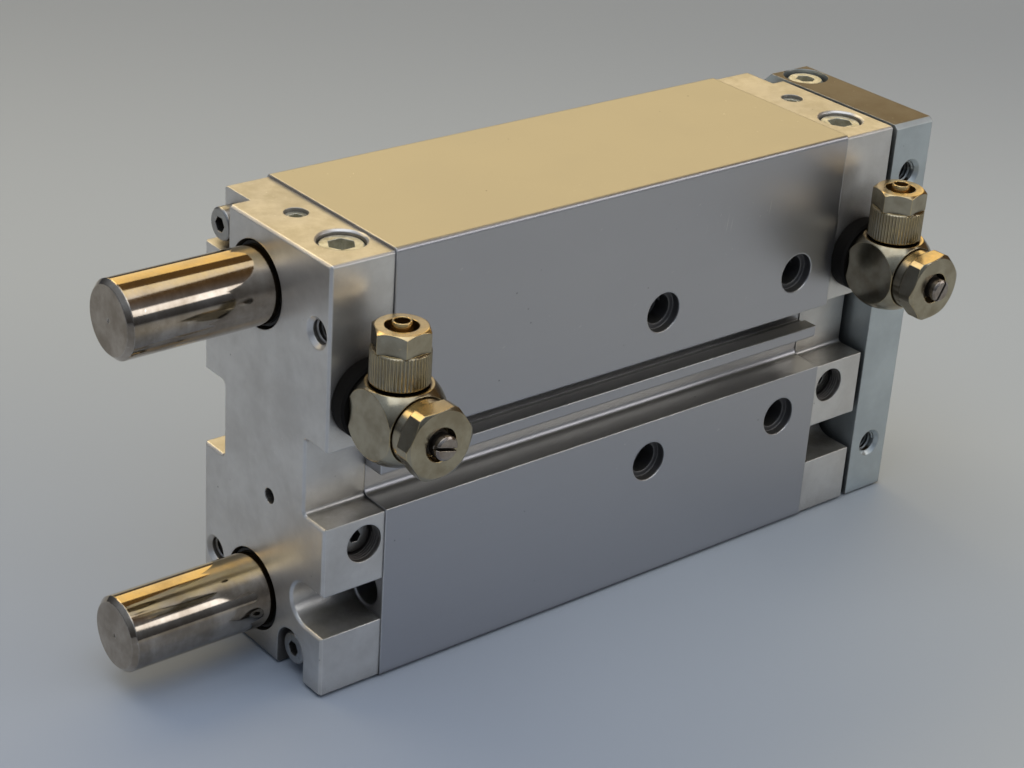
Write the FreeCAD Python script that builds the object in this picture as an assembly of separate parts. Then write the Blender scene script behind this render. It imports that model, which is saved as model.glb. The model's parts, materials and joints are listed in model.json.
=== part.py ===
"""Guided pneumatic cylinder: bore 25, stroke 80, two plain-bearing guide rods.

X runs along the cylinder from the rear cap to the yoke plate, Y from the side
with the air ports to the far side, Z up. The origin is the centre of the
housing's bottom face. The carriage is drawn retracted. Millimetres.
"""
import FreeCAD, Part
import math
import os

from FreeCAD import Rotation, Vector

# ---- housing and caps
housing_length = 122.7
housing_width = 44.4
housing_height = 96.2
cap_inset = 0.3
cap_top_inset = 0.6
rear_cap_thickness = 14.7
front_cap_thickness = 15.2
housing_edge_radius = 1.0
cap_edge_chamfer = 0.5
cap_corner_chamfer = 0.4
stroke = 80.0

# ---- long recesses and sensor slots in both sides of the housing
recess_wall_outside_bore = 1.9
recess_floor_below_axis = 8.1
recess_fillet = 1.6
rib_bottom_below_axis = 1.3
rib_top_above_axis = 1.3
rib_setback = 2.3
slot_top_above_axis = 7.5
slot_undercut = 0.6
slot_undercut_depth = 1.9

# ---- recesses in the caps' sides
cap_notch_extra = 0.4
cap_notch_extra_top = 1.0
cap_notch_wall_extra = 0.15
cap_notch_fillet = 1.0
cap_gap_above_guide = 5.8
cap_gap_radius = 4.9
cap_gap_depth = 11.2

# ---- blind bores in the housing's ends, behind the caps' channels
end_bore_radius = 4.2
end_bore_mouth_radius = 4.5
end_bore_depth = 12.0

# ---- cylinder bore, piston and piston rod
bore_radius = 12.5
bore_below_middle = 0.3
spigot_length = 7.0
spigot_clearance = 0.05
end_clearance = 0.2
running_clearance = 0.05
piston_clearance = 0.15
seal_clearance = 0.04
piston_rod_radius = 5.0
piston_neck_radius = 4.0
cushion_radius = 7.0
cushion_chamber_gap = 0.3
cushion_length = 8.5
cushion_chamber_margin = 3.4
cushion_seal_width = 2.4
cushion_seal_depth = 1.6
cushion_seal_setback = 1.4
o_ring_thickness = 1.6
o_ring_setback = 3.2
rod_bush_length = 5.6
rod_bush_wall = 1.5
rod_seal_depth = 4.2
rod_seal_wall = 3.2
piston_seal_width = 3.0
piston_seal_depth = 3.0
guide_ring_width = 5.6
guide_ring_depth = 1.5
magnet_width = 4.0
magnet_depth = 3.4

# ---- guide rods
guide_rod_radius = 8.0
guide_offset_y = 3.27
guide_from_edge = 13.15
guide_rod_end_behind_cap = 32.4
guide_rod_chamfer = 1.0
guide_mark_radius = 0.5
guide_mark_depth = 0.5
guide_bush_wall = 2.0
guide_bush_length = 26.0
guide_relief = 0.8
wiper_wall = 1.1
wiper_width = 5.0
wiper_recess = 0.7
rod_land_depth = 1.0

# ---- yoke plate
plate_gap = 1.5
plate_thickness = 12.4
plate_inset = 0.6
plate_bottom_z = 0.4
plate_top_below_housing = 0.9
plate_front_chamfer = 0.6
plate_near_edge_chamfer = 1.0
plate_far_corner_chamfer = 2.8
plate_side_hole_from_edge = 12.8
plate_side_hole_depth = 13.0
plate_hole_from_back = 6.2
plate_pattern_y = 24.0
plate_pattern_z = 36.0
plate_top_screw_from_side = 8.0
plate_top_screw_pocket_radius = 5.3
plate_top_screw_pocket_depth = 5.2

# ---- threads, drawn at their tapping size
m6_radius = 2.5
m6_mouth_radius = 3.4
m6_depth = 12.0
vent_radius = 2.5
vent_depth = 2.9
small_hole_radius = 1.7
small_hole_depth = 6.0
small_hole_y = -2.6
small_hole_below_axis = 9.8
end_hole_from_side = 4.2
end_hole_inside_guide = 2.0

# ---- mounting holes through the housing
mount_hole_radius = 3.4
mount_centring_radius = 4.6
mount_centring_depth = 2.1
mount_centre_x = 29.9
mount_spacing_x = 40.0
mount_spacing_z = 36.0

# ---- cap tie screws
tie_screw_from_side = 4.23
tie_screw_from_edge = 6.0
tie_head_radius = 3.5
tie_head_height = 4.0
tie_shank_radius = 2.0
tie_shank_length = 26.0
tie_key = 3.0
tie_pocket_depth_rear = 4.7
tie_pocket_depth_front = 3.9
tie_pocket_reach = 4.75
thread_clearance = 0.05

# ---- other screws
m8_radius = 4.0
m8_head_radius = 6.5
m8_head_height = 5.0
m8_key = 5.0
m8_length = 24.0
m6_screw_radius = 3.0
m6_screw_head_radius = 5.0
m6_screw_head_height = 5.0
m6_screw_key = 4.0
m6_screw_length = 22.0
m5_screw_radius = 2.5
m5_screw_head_radius = 4.2
m5_screw_head_height = 4.6
m5_screw_key = 4.0
m5_screw_length = 20.0
head_pocket_clearance = 0.5
key_depth_share = 0.55
socket_turn = 30.0

# ---- air ports and their plugs
port_radius = 4.86
port_depth = 8.5
port_mouth_radius = 5.3
port_from_cap_end = 9.0
front_port_from_cap_start = 7.9
top_port_y = -12.15
side_port_above_axis = 19.0
duct_radius = 1.5
cross_duct_radius = 1.2
duct_end_from_joint = 3.5
plug_radius = 4.8
plug_length = 6.0
plug_recess = 0.9
plug_key = 5.0
plug_key_depth = 3.4
vent_screw_key = 2.5
vent_screw_length = 2.0
vent_screw_recess = 0.8

# ---- cushion adjusting screws
cushion_screw_below_axis = 14.4
cushion_screw_from_joint = 4.9
cushion_hole_radius = 4.15
cushion_hole_depth = 5.4
cushion_screw_radius = 3.0
cushion_screw_length = 7.5
cushion_head_radius = 3.7
cushion_head_height = 2.0
cushion_key = 2.5
cushion_needle_radius = 1.2
cushion_needle_length = 2.5

# ---- flow control valves, measured out from the cap's side
valve_axis_reach = 10.3
washer_radius = 8.3
washer_thickness = 3.8
washer_foot_radius = 5.6
swivel_gap = 0.1
elbow_ball_radius = 9.9
elbow_flat_x = 7.0
elbow_flat_top = 7.3
elbow_flat_bottom = 8.0
elbow_front_reach = 7.0
elbow_chamber_radius = 6.2
elbow_chamber_length = 5.0
bolt_radius = 4.8
bolt_bore_radius = 2.2
bolt_thread_length = 7.5
bolt_collar_radius = 6.7
bolt_hex = 14.0
bolt_hex_trim_radius = 7.7
bolt_hex_thickness = 4.0
bolt_front_reach = 23.9
bolt_recess_radius = 3.5
bolt_recess_depth = 2.6
bolt_cross_hole_radius = 1.5
needle_bore_setback = 0.8
needle_radius = 2.5
needle_body_length = 6.0
needle_tip_radius = 1.4
needle_tip_length = 6.0
needle_head_radius = 2.55
needle_head_length = 2.6
needle_slot_width = 0.7
needle_slot_depth = 1.3
needle_front_reach = 26.0
stub_radius = 5.0
stub_length = 6.2
barb_radius = 2.0
barb_rib = 0.35
barb_bore_radius = 1.6
barb_length = 11.3
nut_gap = 0.25
nut_wall = 0.9
nut_knurl_length = 7.1
nut_knurl_depth = 0.2
nut_knurl_count = 52
nut_hex = 10.4
nut_hex_length = 4.4
nut_mouth_radius = 3.33
nut_thread_length = 6.6
nut_top_radius = 5.1

# ---- places worked out from the sizes above
rear_joint_x = -housing_length / 2
front_joint_x = housing_length / 2
rear_face_x = rear_joint_x - rear_cap_thickness
front_face_x = front_joint_x + front_cap_thickness
plate_back_x = front_face_x + plate_gap
plate_front_x = plate_back_x + plate_thickness
plate_hole_x = plate_back_x + plate_hole_from_back
side_y = housing_width / 2
cap_side_y = side_y - cap_inset
plate_side_y = side_y - plate_inset
plate_top_screw_y = plate_side_y - plate_top_screw_from_side
recess_wall_y = bore_radius + recess_wall_outside_bore
cap_bottom_z = cap_inset
cap_top_z = housing_height - cap_top_inset
bore_z = housing_height / 2 - bore_below_middle
guide_spacing = 2 * (bore_z - guide_from_edge)
upper_guide_z = bore_z + guide_spacing / 2
lower_guide_z = bore_z - guide_spacing / 2
recess_floor_z = bore_z - recess_floor_below_axis
rib_bottom_z = bore_z - rib_bottom_below_axis
rib_top_z = bore_z + rib_top_above_axis
slot_top_z = bore_z + slot_top_above_axis
cap_notch_bottom_z = recess_floor_z - cap_notch_extra
cap_notch_top_z = slot_top_z + cap_notch_extra_top
cap_gap_centre_z = lower_guide_z + cap_gap_above_guide
cap_gap_centre_y = -side_y + cap_gap_depth - cap_gap_radius
side_port_z = bore_z + side_port_above_axis
cushion_screw_z = bore_z - cushion_screw_below_axis
small_hole_z = bore_z - small_hole_below_axis
end_hole_y = cap_side_y - end_hole_from_side
end_hole_z = guide_spacing / 2 - end_hole_inside_guide
plate_top_z = housing_height - plate_top_below_housing
plate_side_hole_spacing = 2 * (bore_z - plate_side_hole_from_edge)
guide_bush_radius = guide_rod_radius + guide_bush_wall
cap_guide_hole_radius = guide_rod_radius + wiper_wall
piston_rear_x = rear_joint_x + spigot_length + end_clearance
piston_length = housing_length - 2 * spigot_length - 2 * end_clearance - stroke
piston_front_x = piston_rear_x + piston_length
cushion_chamber_radius = cushion_radius + cushion_chamber_gap
cushion_chamber_depth = cushion_length + cushion_chamber_margin
rear_port_x = rear_face_x + port_from_cap_end
front_port_x = front_joint_x + front_port_from_cap_start
rear_cushion_screw_x = rear_joint_x - cushion_screw_from_joint
front_cushion_screw_x = front_joint_x + cushion_screw_from_joint
upper_tie_y = cap_side_y - tie_screw_from_side
lower_tie_y = 2 * guide_offset_y - upper_tie_y
upper_tie_z = 2 * bore_z - tie_screw_from_edge
lower_tie_z = tie_screw_from_edge
cap_overshoot = 1.0

RIGHT = Vector(1, 0, 0)
LEFT = Vector(-1, 0, 0)
INWARD = Vector(0, 1, 0)
OUTWARD = Vector(0, -1, 0)
UP = Vector(0, 0, 1)
DOWN = Vector(0, 0, -1)


# ---- shape helpers
def place(shape, start, direction, twist=0.0):
    """Turn a shape drawn along +Z to a direction and move it to its start."""
    aim = Rotation(UP, direction)
    shape.Placement = FreeCAD.Placement(start, aim.multiply(Rotation(UP, twist)))
    return shape


def block(x0, x1, y0, y1, z0, z1):
    return Part.makeBox(x1 - x0, y1 - y0, z1 - z0, Vector(x0, y0, z0))


def rod(radius, length, start, direction):
    return Part.makeCylinder(radius, length, start, direction)


def ring(outer, inner, length, start, direction):
    return rod(outer, length, start, direction).cut(rod(inner, length, start, direction))


def turned(profile, start, direction):
    """Revolve (radius, height) points about an axis that leaves the start."""
    points = [Vector(radius, 0, height) for radius, height in profile]
    face = Part.Face(Part.makePolygon(points + [points[0]]))
    return place(face.revolve(Vector(0, 0, 0), UP, 360), start, direction)


def cone_mouth(mouth_radius, hole_radius, start, direction):
    """Countersink at 45 degrees whose widest end lies on the surface."""
    return Part.makeCone(mouth_radius, hole_radius, mouth_radius - hole_radius, start, direction)


def hexagon(across_flats, length, start, direction, twist=0.0):
    corner = across_flats / math.sqrt(3)
    turns = [math.radians(60 * step) for step in range(6)]
    points = [Vector(corner * math.cos(turn), corner * math.sin(turn), 0) for turn in turns]
    face = Part.Face(Part.makePolygon(points + [points[0]]))
    return place(face.extrude(Vector(0, 0, length)), start, direction, twist)


def prism_along_x(points, x0, x1):
    """Extrude a closed (y, z) outline from x0 to x1."""
    corners = [Vector(x0, y, z) for y, z in points]
    face = Part.Face(Part.makePolygon(corners + [corners[0]]))
    return face.extrude(Vector(x1 - x0, 0, 0))


def edges_along_x(shape, y, z):
    """Edges parallel to X that pass through a given (y, z)."""
    found = []
    for edge in shape.Edges:
        middle = edge.CenterOfMass
        along = edge.BoundBox.YLength < 1e-6 and edge.BoundBox.ZLength < 1e-6
        if along and abs(middle.y - y) < 1e-4 and abs(middle.z - z) < 1e-4:
            found.append(edge)
    return found


def edges_in_plane_x(shape, x):
    """Edges that lie in the plane at x."""
    return [
        edge
        for edge in shape.Edges
        if abs(edge.BoundBox.XMin - x) < 1e-5 and abs(edge.BoundBox.XMax - x) < 1e-5
    ]


def socket_screw(head_radius, head_height, shank_radius, length, key, top, direction):
    """Socket cap screw from the top of its head, pointing into the work."""
    bevel = 0.1 * head_radius
    end = head_height + length
    profile = [
        (0, 0),
        (head_radius - bevel, 0),
        (head_radius, bevel),
        (head_radius, head_height),
        (shank_radius, head_height),
        (shank_radius, end - bevel),
        (shank_radius - bevel, end),
        (0, end),
    ]
    screw = turned(profile, top, direction)
    socket_depth = key_depth_share * head_height
    return screw.cut(hexagon(key, socket_depth, top, direction, socket_turn))


def cut_all(shape, tools):
    """Cut tools one after another."""
    for tool in tools:
        shape = shape.cut(tool)
    return shape


def tapped_hole(start, direction, depth=m6_depth):
    """M6 hole with a countersunk mouth."""
    hole = rod(m6_radius, depth, start, direction)
    return hole.fuse(cone_mouth(m6_mouth_radius, m6_radius, start, direction))


# ---- housing
def side_recess(side):
    """Long recess with the rib and the sensor slot, cut into one side."""
    wall = side * recess_wall_y
    rib = side * (side_y - rib_setback)
    undercut = side * (recess_wall_y + slot_undercut_depth)
    open_side = side * (side_y + cap_overshoot)
    outline = [
        (open_side, recess_floor_z),
        (wall, recess_floor_z),
        (wall, rib_bottom_z),
        (rib, rib_bottom_z),
        (rib, rib_top_z),
        (undercut, rib_top_z),
        (undercut, rib_top_z - slot_undercut),
        (wall, rib_top_z - slot_undercut),
        (wall, slot_top_z + slot_undercut),
        (undercut, slot_top_z + slot_undercut),
        (undercut, slot_top_z),
        (open_side, slot_top_z),
    ]
    tool = prism_along_x(outline, rear_joint_x - cap_overshoot, front_joint_x + cap_overshoot)
    return tool.makeFillet(recess_fillet, edges_along_x(tool, wall, recess_floor_z))


def mounting_holes():
    tools = []
    for step_x in (-0.5, 0.5):
        for step_z in (-0.5, 0.5):
            x = mount_centre_x + step_x * mount_spacing_x
            z = bore_z + step_z * mount_spacing_z
            near = Vector(x, -side_y, z)
            far = Vector(x, side_y, z)
            tools.append(rod(mount_hole_radius, housing_width, near, INWARD))
            tools.append(rod(mount_centring_radius, mount_centring_depth, near, INWARD))
            tools.append(rod(mount_centring_radius, mount_centring_depth, far, OUTWARD))
    return tools


def housing():
    body = block(rear_joint_x, front_joint_x, -side_y, side_y, 0, housing_height)
    corners = []
    for y in (-side_y, side_y):
        for z in (0, housing_height):
            corners += edges_along_x(body, y, z)
    body = body.makeFillet(housing_edge_radius, corners)
    for side in (-1, 1):
        body = body.cut(side_recess(side))
    rear_bore = Vector(rear_joint_x, 0, bore_z)
    tools = [rod(bore_radius, housing_length, rear_bore, RIGHT)]
    for z in (upper_guide_z, lower_guide_z):
        rear = Vector(rear_joint_x, guide_offset_y, z)
        front = Vector(front_joint_x, guide_offset_y, z)
        tools.append(rod(guide_rod_radius + guide_relief, housing_length, rear, RIGHT))
        tools.append(rod(guide_bush_radius, guide_bush_length, rear, RIGHT))
        tools.append(rod(guide_bush_radius, guide_bush_length, front, LEFT))
    for y, z in ((upper_tie_y, upper_tie_z), (lower_tie_y, lower_tie_z)):
        radius = tie_shank_radius + thread_clearance
        tools.append(rod(radius, tie_shank_length, Vector(rear_joint_x, y, z), RIGHT))
        tools.append(rod(radius, tie_shank_length, Vector(front_joint_x, y, z), LEFT))
    for x, direction in ((rear_joint_x, RIGHT), (front_joint_x, LEFT)):
        mouth = Vector(x, cap_gap_centre_y, cap_gap_centre_z)
        tools.append(rod(end_bore_radius, end_bore_depth, mouth, direction))
        tools.append(cone_mouth(end_bore_mouth_radius, end_bore_radius, mouth, direction))
    return cut_all(body, tools + mounting_holes())


# ---- caps
def cap_blank(x0, x1, end_x):
    """Cap block with its side recesses and bevelled outer end."""
    blank = block(x0, x1, -cap_side_y, cap_side_y, cap_bottom_z, cap_top_z)
    corners = []
    for y in (-cap_side_y, cap_side_y):
        for z in (cap_bottom_z, cap_top_z):
            corners += edges_along_x(blank, y, z)
    blank = blank.makeChamfer(cap_corner_chamfer, corners)
    reach = side_y + cap_overshoot
    for side in (-1, 1):
        notch_y = side * (recess_wall_y + cap_notch_wall_extra)
        low_y, high_y = sorted((notch_y, side * reach))
        notch = block(x0, x1, low_y, high_y, cap_notch_bottom_z, cap_notch_top_z)
        inner = edges_along_x(notch, notch_y, cap_notch_bottom_z)
        inner += edges_along_x(notch, notch_y, cap_notch_top_z)
        blank = blank.cut(notch.makeFillet(cap_notch_fillet, inner))
    low_z = cap_gap_centre_z - cap_gap_radius
    high_z = cap_gap_centre_z + cap_gap_radius
    channel_end = Vector(x0, cap_gap_centre_y, cap_gap_centre_z)
    blank = blank.cut(block(x0, x1, -reach, cap_gap_centre_y, low_z, high_z))
    blank = blank.cut(rod(cap_gap_radius, x1 - x0, channel_end, RIGHT))
    return blank.makeChamfer(cap_edge_chamfer, edges_in_plane_x(blank, end_x))


def tie_pockets(face_x, depth, inward):
    """Pockets that sink the two tie screws' heads, open to the cap's edges."""
    start = face_x + min(0, inward) * depth
    upper = block(
        start,
        start + depth,
        upper_tie_y - tie_pocket_reach,
        side_y + cap_overshoot,
        upper_tie_z - tie_pocket_reach,
        housing_height,
    )
    lower = block(
        start,
        start + depth,
        lower_tie_y - tie_pocket_reach,
        lower_tie_y + tie_pocket_reach,
        0,
        lower_tie_z,
    )
    arch = rod(tie_pocket_reach, depth, Vector(start, lower_tie_y, lower_tie_z), RIGHT)
    return [upper, lower, arch]


def tie_holes(x0, length):
    radius = tie_shank_radius + thread_clearance
    places = ((upper_tie_y, upper_tie_z), (lower_tie_y, lower_tie_z))
    return [rod(radius, length, Vector(x0, y, z), RIGHT) for y, z in places]


def port_tools(x, duct_end_x):
    """Side port, top port, vent hole and the duct to the cushion chamber."""
    near = Vector(x, -cap_side_y, side_port_z)
    top = Vector(x, top_port_y, cap_top_z)
    tools = [
        rod(port_radius, port_depth, near, INWARD),
        cone_mouth(port_mouth_radius, port_radius, near, INWARD),
        rod(port_radius, port_depth, top, DOWN),
        cone_mouth(port_mouth_radius, port_radius, top, DOWN),
        rod(duct_radius, cap_top_z - side_port_z, top, DOWN),
        rod(cross_duct_radius, cap_side_y + top_port_y, near, INWARD),
        rod(vent_radius, vent_depth, Vector(x, guide_offset_y, cap_top_z), DOWN),
    ]
    slant_start = Vector(x, -cap_side_y + port_depth - duct_radius, side_port_z)
    slant = Vector(duct_end_x, 0, bore_z) - slant_start
    tools.append(rod(cross_duct_radius, slant.Length, slant_start, slant))
    return tools


def cushion_screw_tools(x):
    """Hole of the cushion screw and the duct from its needle."""
    mouth = Vector(x, -cap_side_y, cushion_screw_z)
    seat = mouth + INWARD * cushion_hole_depth
    needle = seat + INWARD * cushion_screw_length
    return [
        rod(cushion_hole_radius, cushion_hole_depth, mouth, INWARD),
        rod(cushion_screw_radius + running_clearance, cushion_screw_length, seat, INWARD),
        rod(duct_radius, duct_radius - needle.y, needle, INWARD),
        rod(cross_duct_radius, bore_z - cushion_screw_z, Vector(x, 0, cushion_screw_z), UP),
    ]


def guide_holes(x0, length):
    tools = []
    for z in (upper_guide_z, lower_guide_z):
        tools.append(rod(cap_guide_hole_radius, length, Vector(x0, guide_offset_y, z), RIGHT))
    return tools


def spigot(joint_x, direction):
    """Round spigot that centres the cap in the barrel, with its seal groove."""
    radius = bore_radius - spigot_clearance
    start = Vector(joint_x, 0, bore_z)
    boss = rod(radius, spigot_length, start, direction)
    groove_start = start + direction * o_ring_setback
    return boss.cut(ring(radius, radius - o_ring_thickness, o_ring_thickness, groove_start, direction))


def cushion_chamber(joint_x, direction):
    """Blind bore for the cushion spigot, with the groove of its seal."""
    mouth = Vector(joint_x, 0, bore_z) + direction * spigot_length
    chamber = rod(cushion_chamber_radius, cushion_chamber_depth, mouth, direction * -1)
    groove = mouth - direction * cushion_seal_setback
    radius = cushion_radius + cushion_seal_depth
    return [chamber, rod(radius, cushion_seal_width, groove, direction * -1)]


def rear_cap():
    cap = cap_blank(rear_face_x, rear_joint_x, rear_face_x)
    cap = cap.fuse(spigot(rear_joint_x, RIGHT))
    tools = tie_pockets(rear_face_x, tie_pocket_depth_rear, 1)
    tools += tie_holes(rear_face_x, rear_cap_thickness)
    tools += guide_holes(rear_face_x, rear_cap_thickness)
    tools += cushion_chamber(rear_joint_x, RIGHT)
    tools += port_tools(rear_port_x, rear_joint_x - duct_end_from_joint)
    tools += cushion_screw_tools(rear_cushion_screw_x)
    for side in (-1, 1):
        mouth = Vector(rear_face_x, side * end_hole_y, bore_z - side * end_hole_z)
        tools.append(tapped_hole(mouth, RIGHT))
    small = Vector(rear_face_x, small_hole_y, small_hole_z)
    tools.append(rod(small_hole_radius, small_hole_depth, small, RIGHT))
    return cut_all(cap, tools)


def front_cap():
    cap = cap_blank(front_joint_x, front_face_x, front_face_x)
    cap = cap.fuse(spigot(front_joint_x, LEFT))
    tools = tie_pockets(front_face_x, tie_pocket_depth_front, -1)
    tools += tie_holes(front_joint_x, front_cap_thickness)
    tools += guide_holes(front_joint_x, front_cap_thickness)
    tools += cushion_chamber(front_joint_x, LEFT)
    tools += port_tools(front_port_x, front_joint_x + duct_end_from_joint)
    tools += cushion_screw_tools(front_cushion_screw_x)
    face = Vector(front_face_x, 0, bore_z)
    tools.append(rod(piston_rod_radius + rod_seal_wall, rod_seal_depth, face, LEFT))
    inner = front_cap_thickness + spigot_length - cushion_chamber_depth
    tools.append(rod(piston_rod_radius + rod_bush_wall, inner, face, LEFT))
    return cut_all(cap, tools)


def cap_o_ring(joint_x, direction):
    start = Vector(joint_x, 0, bore_z) + direction * (o_ring_setback + thread_clearance)
    outer = bore_radius - thread_clearance / 2
    inner = bore_radius - spigot_clearance - o_ring_thickness + thread_clearance
    return ring(outer, inner, o_ring_thickness - 2 * thread_clearance, start, direction)


def cushion_seal(joint_x, direction):
    mouth = Vector(joint_x, 0, bore_z) + direction * spigot_length
    start = mouth - direction * (cushion_seal_setback + thread_clearance)
    outer = cushion_radius + cushion_seal_depth - thread_clearance
    width = cushion_seal_width - 2 * thread_clearance
    return ring(outer, cushion_radius + seal_clearance, width, start, direction * -1)


def tie_screws():
    ends = (
        (rear_face_x + tie_pocket_depth_rear - tie_head_height, RIGHT),
        (front_face_x - tie_pocket_depth_front + tie_head_height, LEFT),
    )
    screws = []
    for x, direction in ends:
        for y, z in ((upper_tie_y, upper_tie_z), (lower_tie_y, lower_tie_z)):
            length = rear_cap_thickness - tie_pocket_depth_rear + tie_shank_length - 1
            top = Vector(x, y, z)
            screws.append(socket_screw(
                tie_head_radius, tie_head_height, tie_shank_radius, length, tie_key, top, direction
            ))
    return Part.makeCompound(screws)


def guide_bush(x, z, direction):
    outer = guide_bush_radius - thread_clearance
    inner = guide_rod_radius + running_clearance
    return ring(outer, inner, guide_bush_length, Vector(x, guide_offset_y, z), direction)


def rod_wiper(face_x, z, direction):
    """Wiper ring with a thin lip, sunk a little in the cap's guide hole."""
    inner = guide_rod_radius + running_clearance
    outer = cap_guide_hole_radius - thread_clearance
    lip = (inner + outer) / 2
    profile = [(inner, 0), (lip, 0), (outer, 1.2), (outer, wiper_width), (inner, wiper_width)]
    start = Vector(face_x, guide_offset_y, z) + direction * wiper_recess
    return turned(profile, start, direction)


def piston_rod_bush():
    start = Vector(front_face_x - rod_seal_depth - thread_clearance, 0, bore_z)
    outer = piston_rod_radius + rod_bush_wall - thread_clearance
    return ring(outer, piston_rod_radius + running_clearance, rod_bush_length, start, LEFT)


def piston_rod_seal():
    """Rod seal with its dust lip just proud of the front cap."""
    inner = piston_rod_radius + seal_clearance
    outer = piston_rod_radius + rod_seal_wall - thread_clearance
    depth = rod_seal_depth - thread_clearance
    lip = 0.4
    profile = [(inner, -lip), (inner + 1.0, -lip), (outer, 0.3), (outer, depth), (inner, depth)]
    return turned(profile, Vector(front_face_x, 0, bore_z), LEFT)


def port_plug(x):
    start = Vector(x, top_port_y, cap_top_z - plug_recess)
    bevel = 0.5
    profile = [
        (0, 0),
        (plug_radius - bevel, 0),
        (plug_radius, bevel),
        (plug_radius, plug_length),
        (0, plug_length),
    ]
    plug = turned(profile, start, DOWN)
    return plug.cut(hexagon(plug_key, plug_key_depth, start, DOWN))


def vent_screw(x):
    start = Vector(x, guide_offset_y, cap_top_z - vent_screw_recess)
    screw = rod(vent_radius - thread_clearance, vent_screw_length, start, DOWN)
    return screw.cut(hexagon(vent_screw_key, vent_screw_length / 2, start, DOWN))


def cushion_screw(x):
    """Adjusting screw with a sunk round head and a needle end."""
    seat_y = -cap_side_y + cushion_hole_depth
    head_top = Vector(x, seat_y - swivel_gap - cushion_head_height, cushion_screw_z)
    head_end = cushion_head_height
    body_end = head_end + swivel_gap + cushion_screw_length - 1.0
    tip_end = body_end + cushion_needle_length
    profile = [
        (0, 0),
        (cushion_head_radius - 0.3, 0),
        (cushion_head_radius, 0.3),
        (cushion_head_radius, head_end),
        (cushion_screw_radius, head_end),
        (cushion_screw_radius, body_end),
        (cushion_needle_radius, body_end),
        (0.5 * cushion_needle_radius, tip_end),
        (0, tip_end),
    ]
    screw = turned(profile, head_top, INWARD)
    return screw.cut(hexagon(cushion_key, cushion_head_height, head_top, INWARD))


# ---- carriage
def yoke_plate():
    side = plate_side_y
    plate = block(plate_back_x, plate_front_x, -side, side, plate_bottom_z, plate_top_z)
    plate = plate.makeChamfer(plate_far_corner_chamfer, edges_along_x(plate, side, plate_top_z))
    plate = plate.makeChamfer(plate_near_edge_chamfer, edges_along_x(plate, -side, plate_top_z))
    plate = plate.makeChamfer(plate_front_chamfer, edges_in_plane_x(plate, plate_front_x))
    tools = []
    head_sink = m8_head_height + head_pocket_clearance
    for z in (upper_guide_z, lower_guide_z):
        back = Vector(plate_back_x, guide_offset_y, z)
        front = Vector(plate_front_x, guide_offset_y, z)
        tools.append(rod(guide_rod_radius + thread_clearance, rod_land_depth, back, RIGHT))
        tools.append(rod(m8_radius + 0.2, plate_thickness, back, RIGHT))
        tools.append(rod(m8_head_radius + head_pocket_clearance, head_sink, front, LEFT))
    back = Vector(plate_back_x, 0, bore_z)
    front = Vector(plate_front_x, 0, bore_z)
    rod_head_sink = m6_screw_head_height + head_pocket_clearance
    tools.append(rod(piston_rod_radius + thread_clearance, rod_land_depth, back, RIGHT))
    tools.append(rod(m6_screw_radius + 0.2, plate_thickness, back, RIGHT))
    tools.append(rod(m6_screw_head_radius + head_pocket_clearance, rod_head_sink, front, LEFT))
    for step in (-0.5, 0.5):
        mouth = Vector(plate_hole_x, -side, bore_z + step * plate_side_hole_spacing)
        tools.append(tapped_hole(mouth, INWARD, plate_side_hole_depth))
        for step_z in (-0.5, 0.5):
            y = step * plate_pattern_y
            z = bore_z + step_z * plate_pattern_z
            tools.append(tapped_hole(Vector(plate_front_x, y, z), LEFT, plate_thickness))
    top = Vector(plate_hole_x, plate_top_screw_y, plate_top_z)
    tools.append(rod(plate_top_screw_pocket_radius, plate_top_screw_pocket_depth, top, DOWN))
    shank_depth = plate_top_screw_pocket_depth + m5_screw_length + 1.0
    tools.append(rod(m5_screw_radius + thread_clearance, shank_depth, top, DOWN))
    return cut_all(plate, tools)


def guide_rod(z):
    """Chamfered guide rod with a centre mark behind and a tapped front end."""
    rear_x = rear_face_x - guide_rod_end_behind_cap
    length = plate_back_x + rod_land_depth - rear_x
    profile = [
        (0, 0),
        (guide_rod_radius - guide_rod_chamfer, 0),
        (guide_rod_radius, guide_rod_chamfer),
        (guide_rod_radius, length),
        (0, length),
    ]
    bar = turned(profile, Vector(rear_x, guide_offset_y, z), RIGHT)
    rear = Vector(rear_x, guide_offset_y, z)
    front = Vector(rear_x + length, guide_offset_y, z)
    mark = Part.makeCone(guide_mark_radius, 0.2 * guide_mark_radius, guide_mark_depth, rear, RIGHT)
    thread = rod(m8_radius + thread_clearance, m8_length, front, LEFT)
    return bar.cut([mark, thread])


def guide_rod_screws():
    top_x = plate_front_x - head_pocket_clearance
    grip = plate_thickness - rod_land_depth - m8_head_height - head_pocket_clearance
    length = grip + m8_length - 1.0
    screws = []
    for z in (upper_guide_z, lower_guide_z):
        top = Vector(top_x, guide_offset_y, z)
        screws.append(socket_screw(
            m8_head_radius, m8_head_height, m8_radius, length, m8_key, top, LEFT
        ))
    return Part.makeCompound(screws)


def piston_rod_screw():
    top = Vector(plate_front_x - head_pocket_clearance, 0, bore_z)
    grip = plate_thickness - rod_land_depth - m6_screw_head_height - head_pocket_clearance
    length = grip + m6_screw_length - 1.0
    return socket_screw(
        m6_screw_head_radius, m6_screw_head_height, m6_screw_radius, length, m6_screw_key, top, LEFT
    )


def yoke_top_screw():
    seat_z = plate_top_z - plate_top_screw_pocket_depth
    top = Vector(plate_hole_x, plate_top_screw_y, seat_z + m5_screw_head_height)
    return socket_screw(
        m5_screw_head_radius, m5_screw_head_height, m5_screw_radius, m5_screw_length,
        m5_screw_key, top, DOWN
    )


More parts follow.
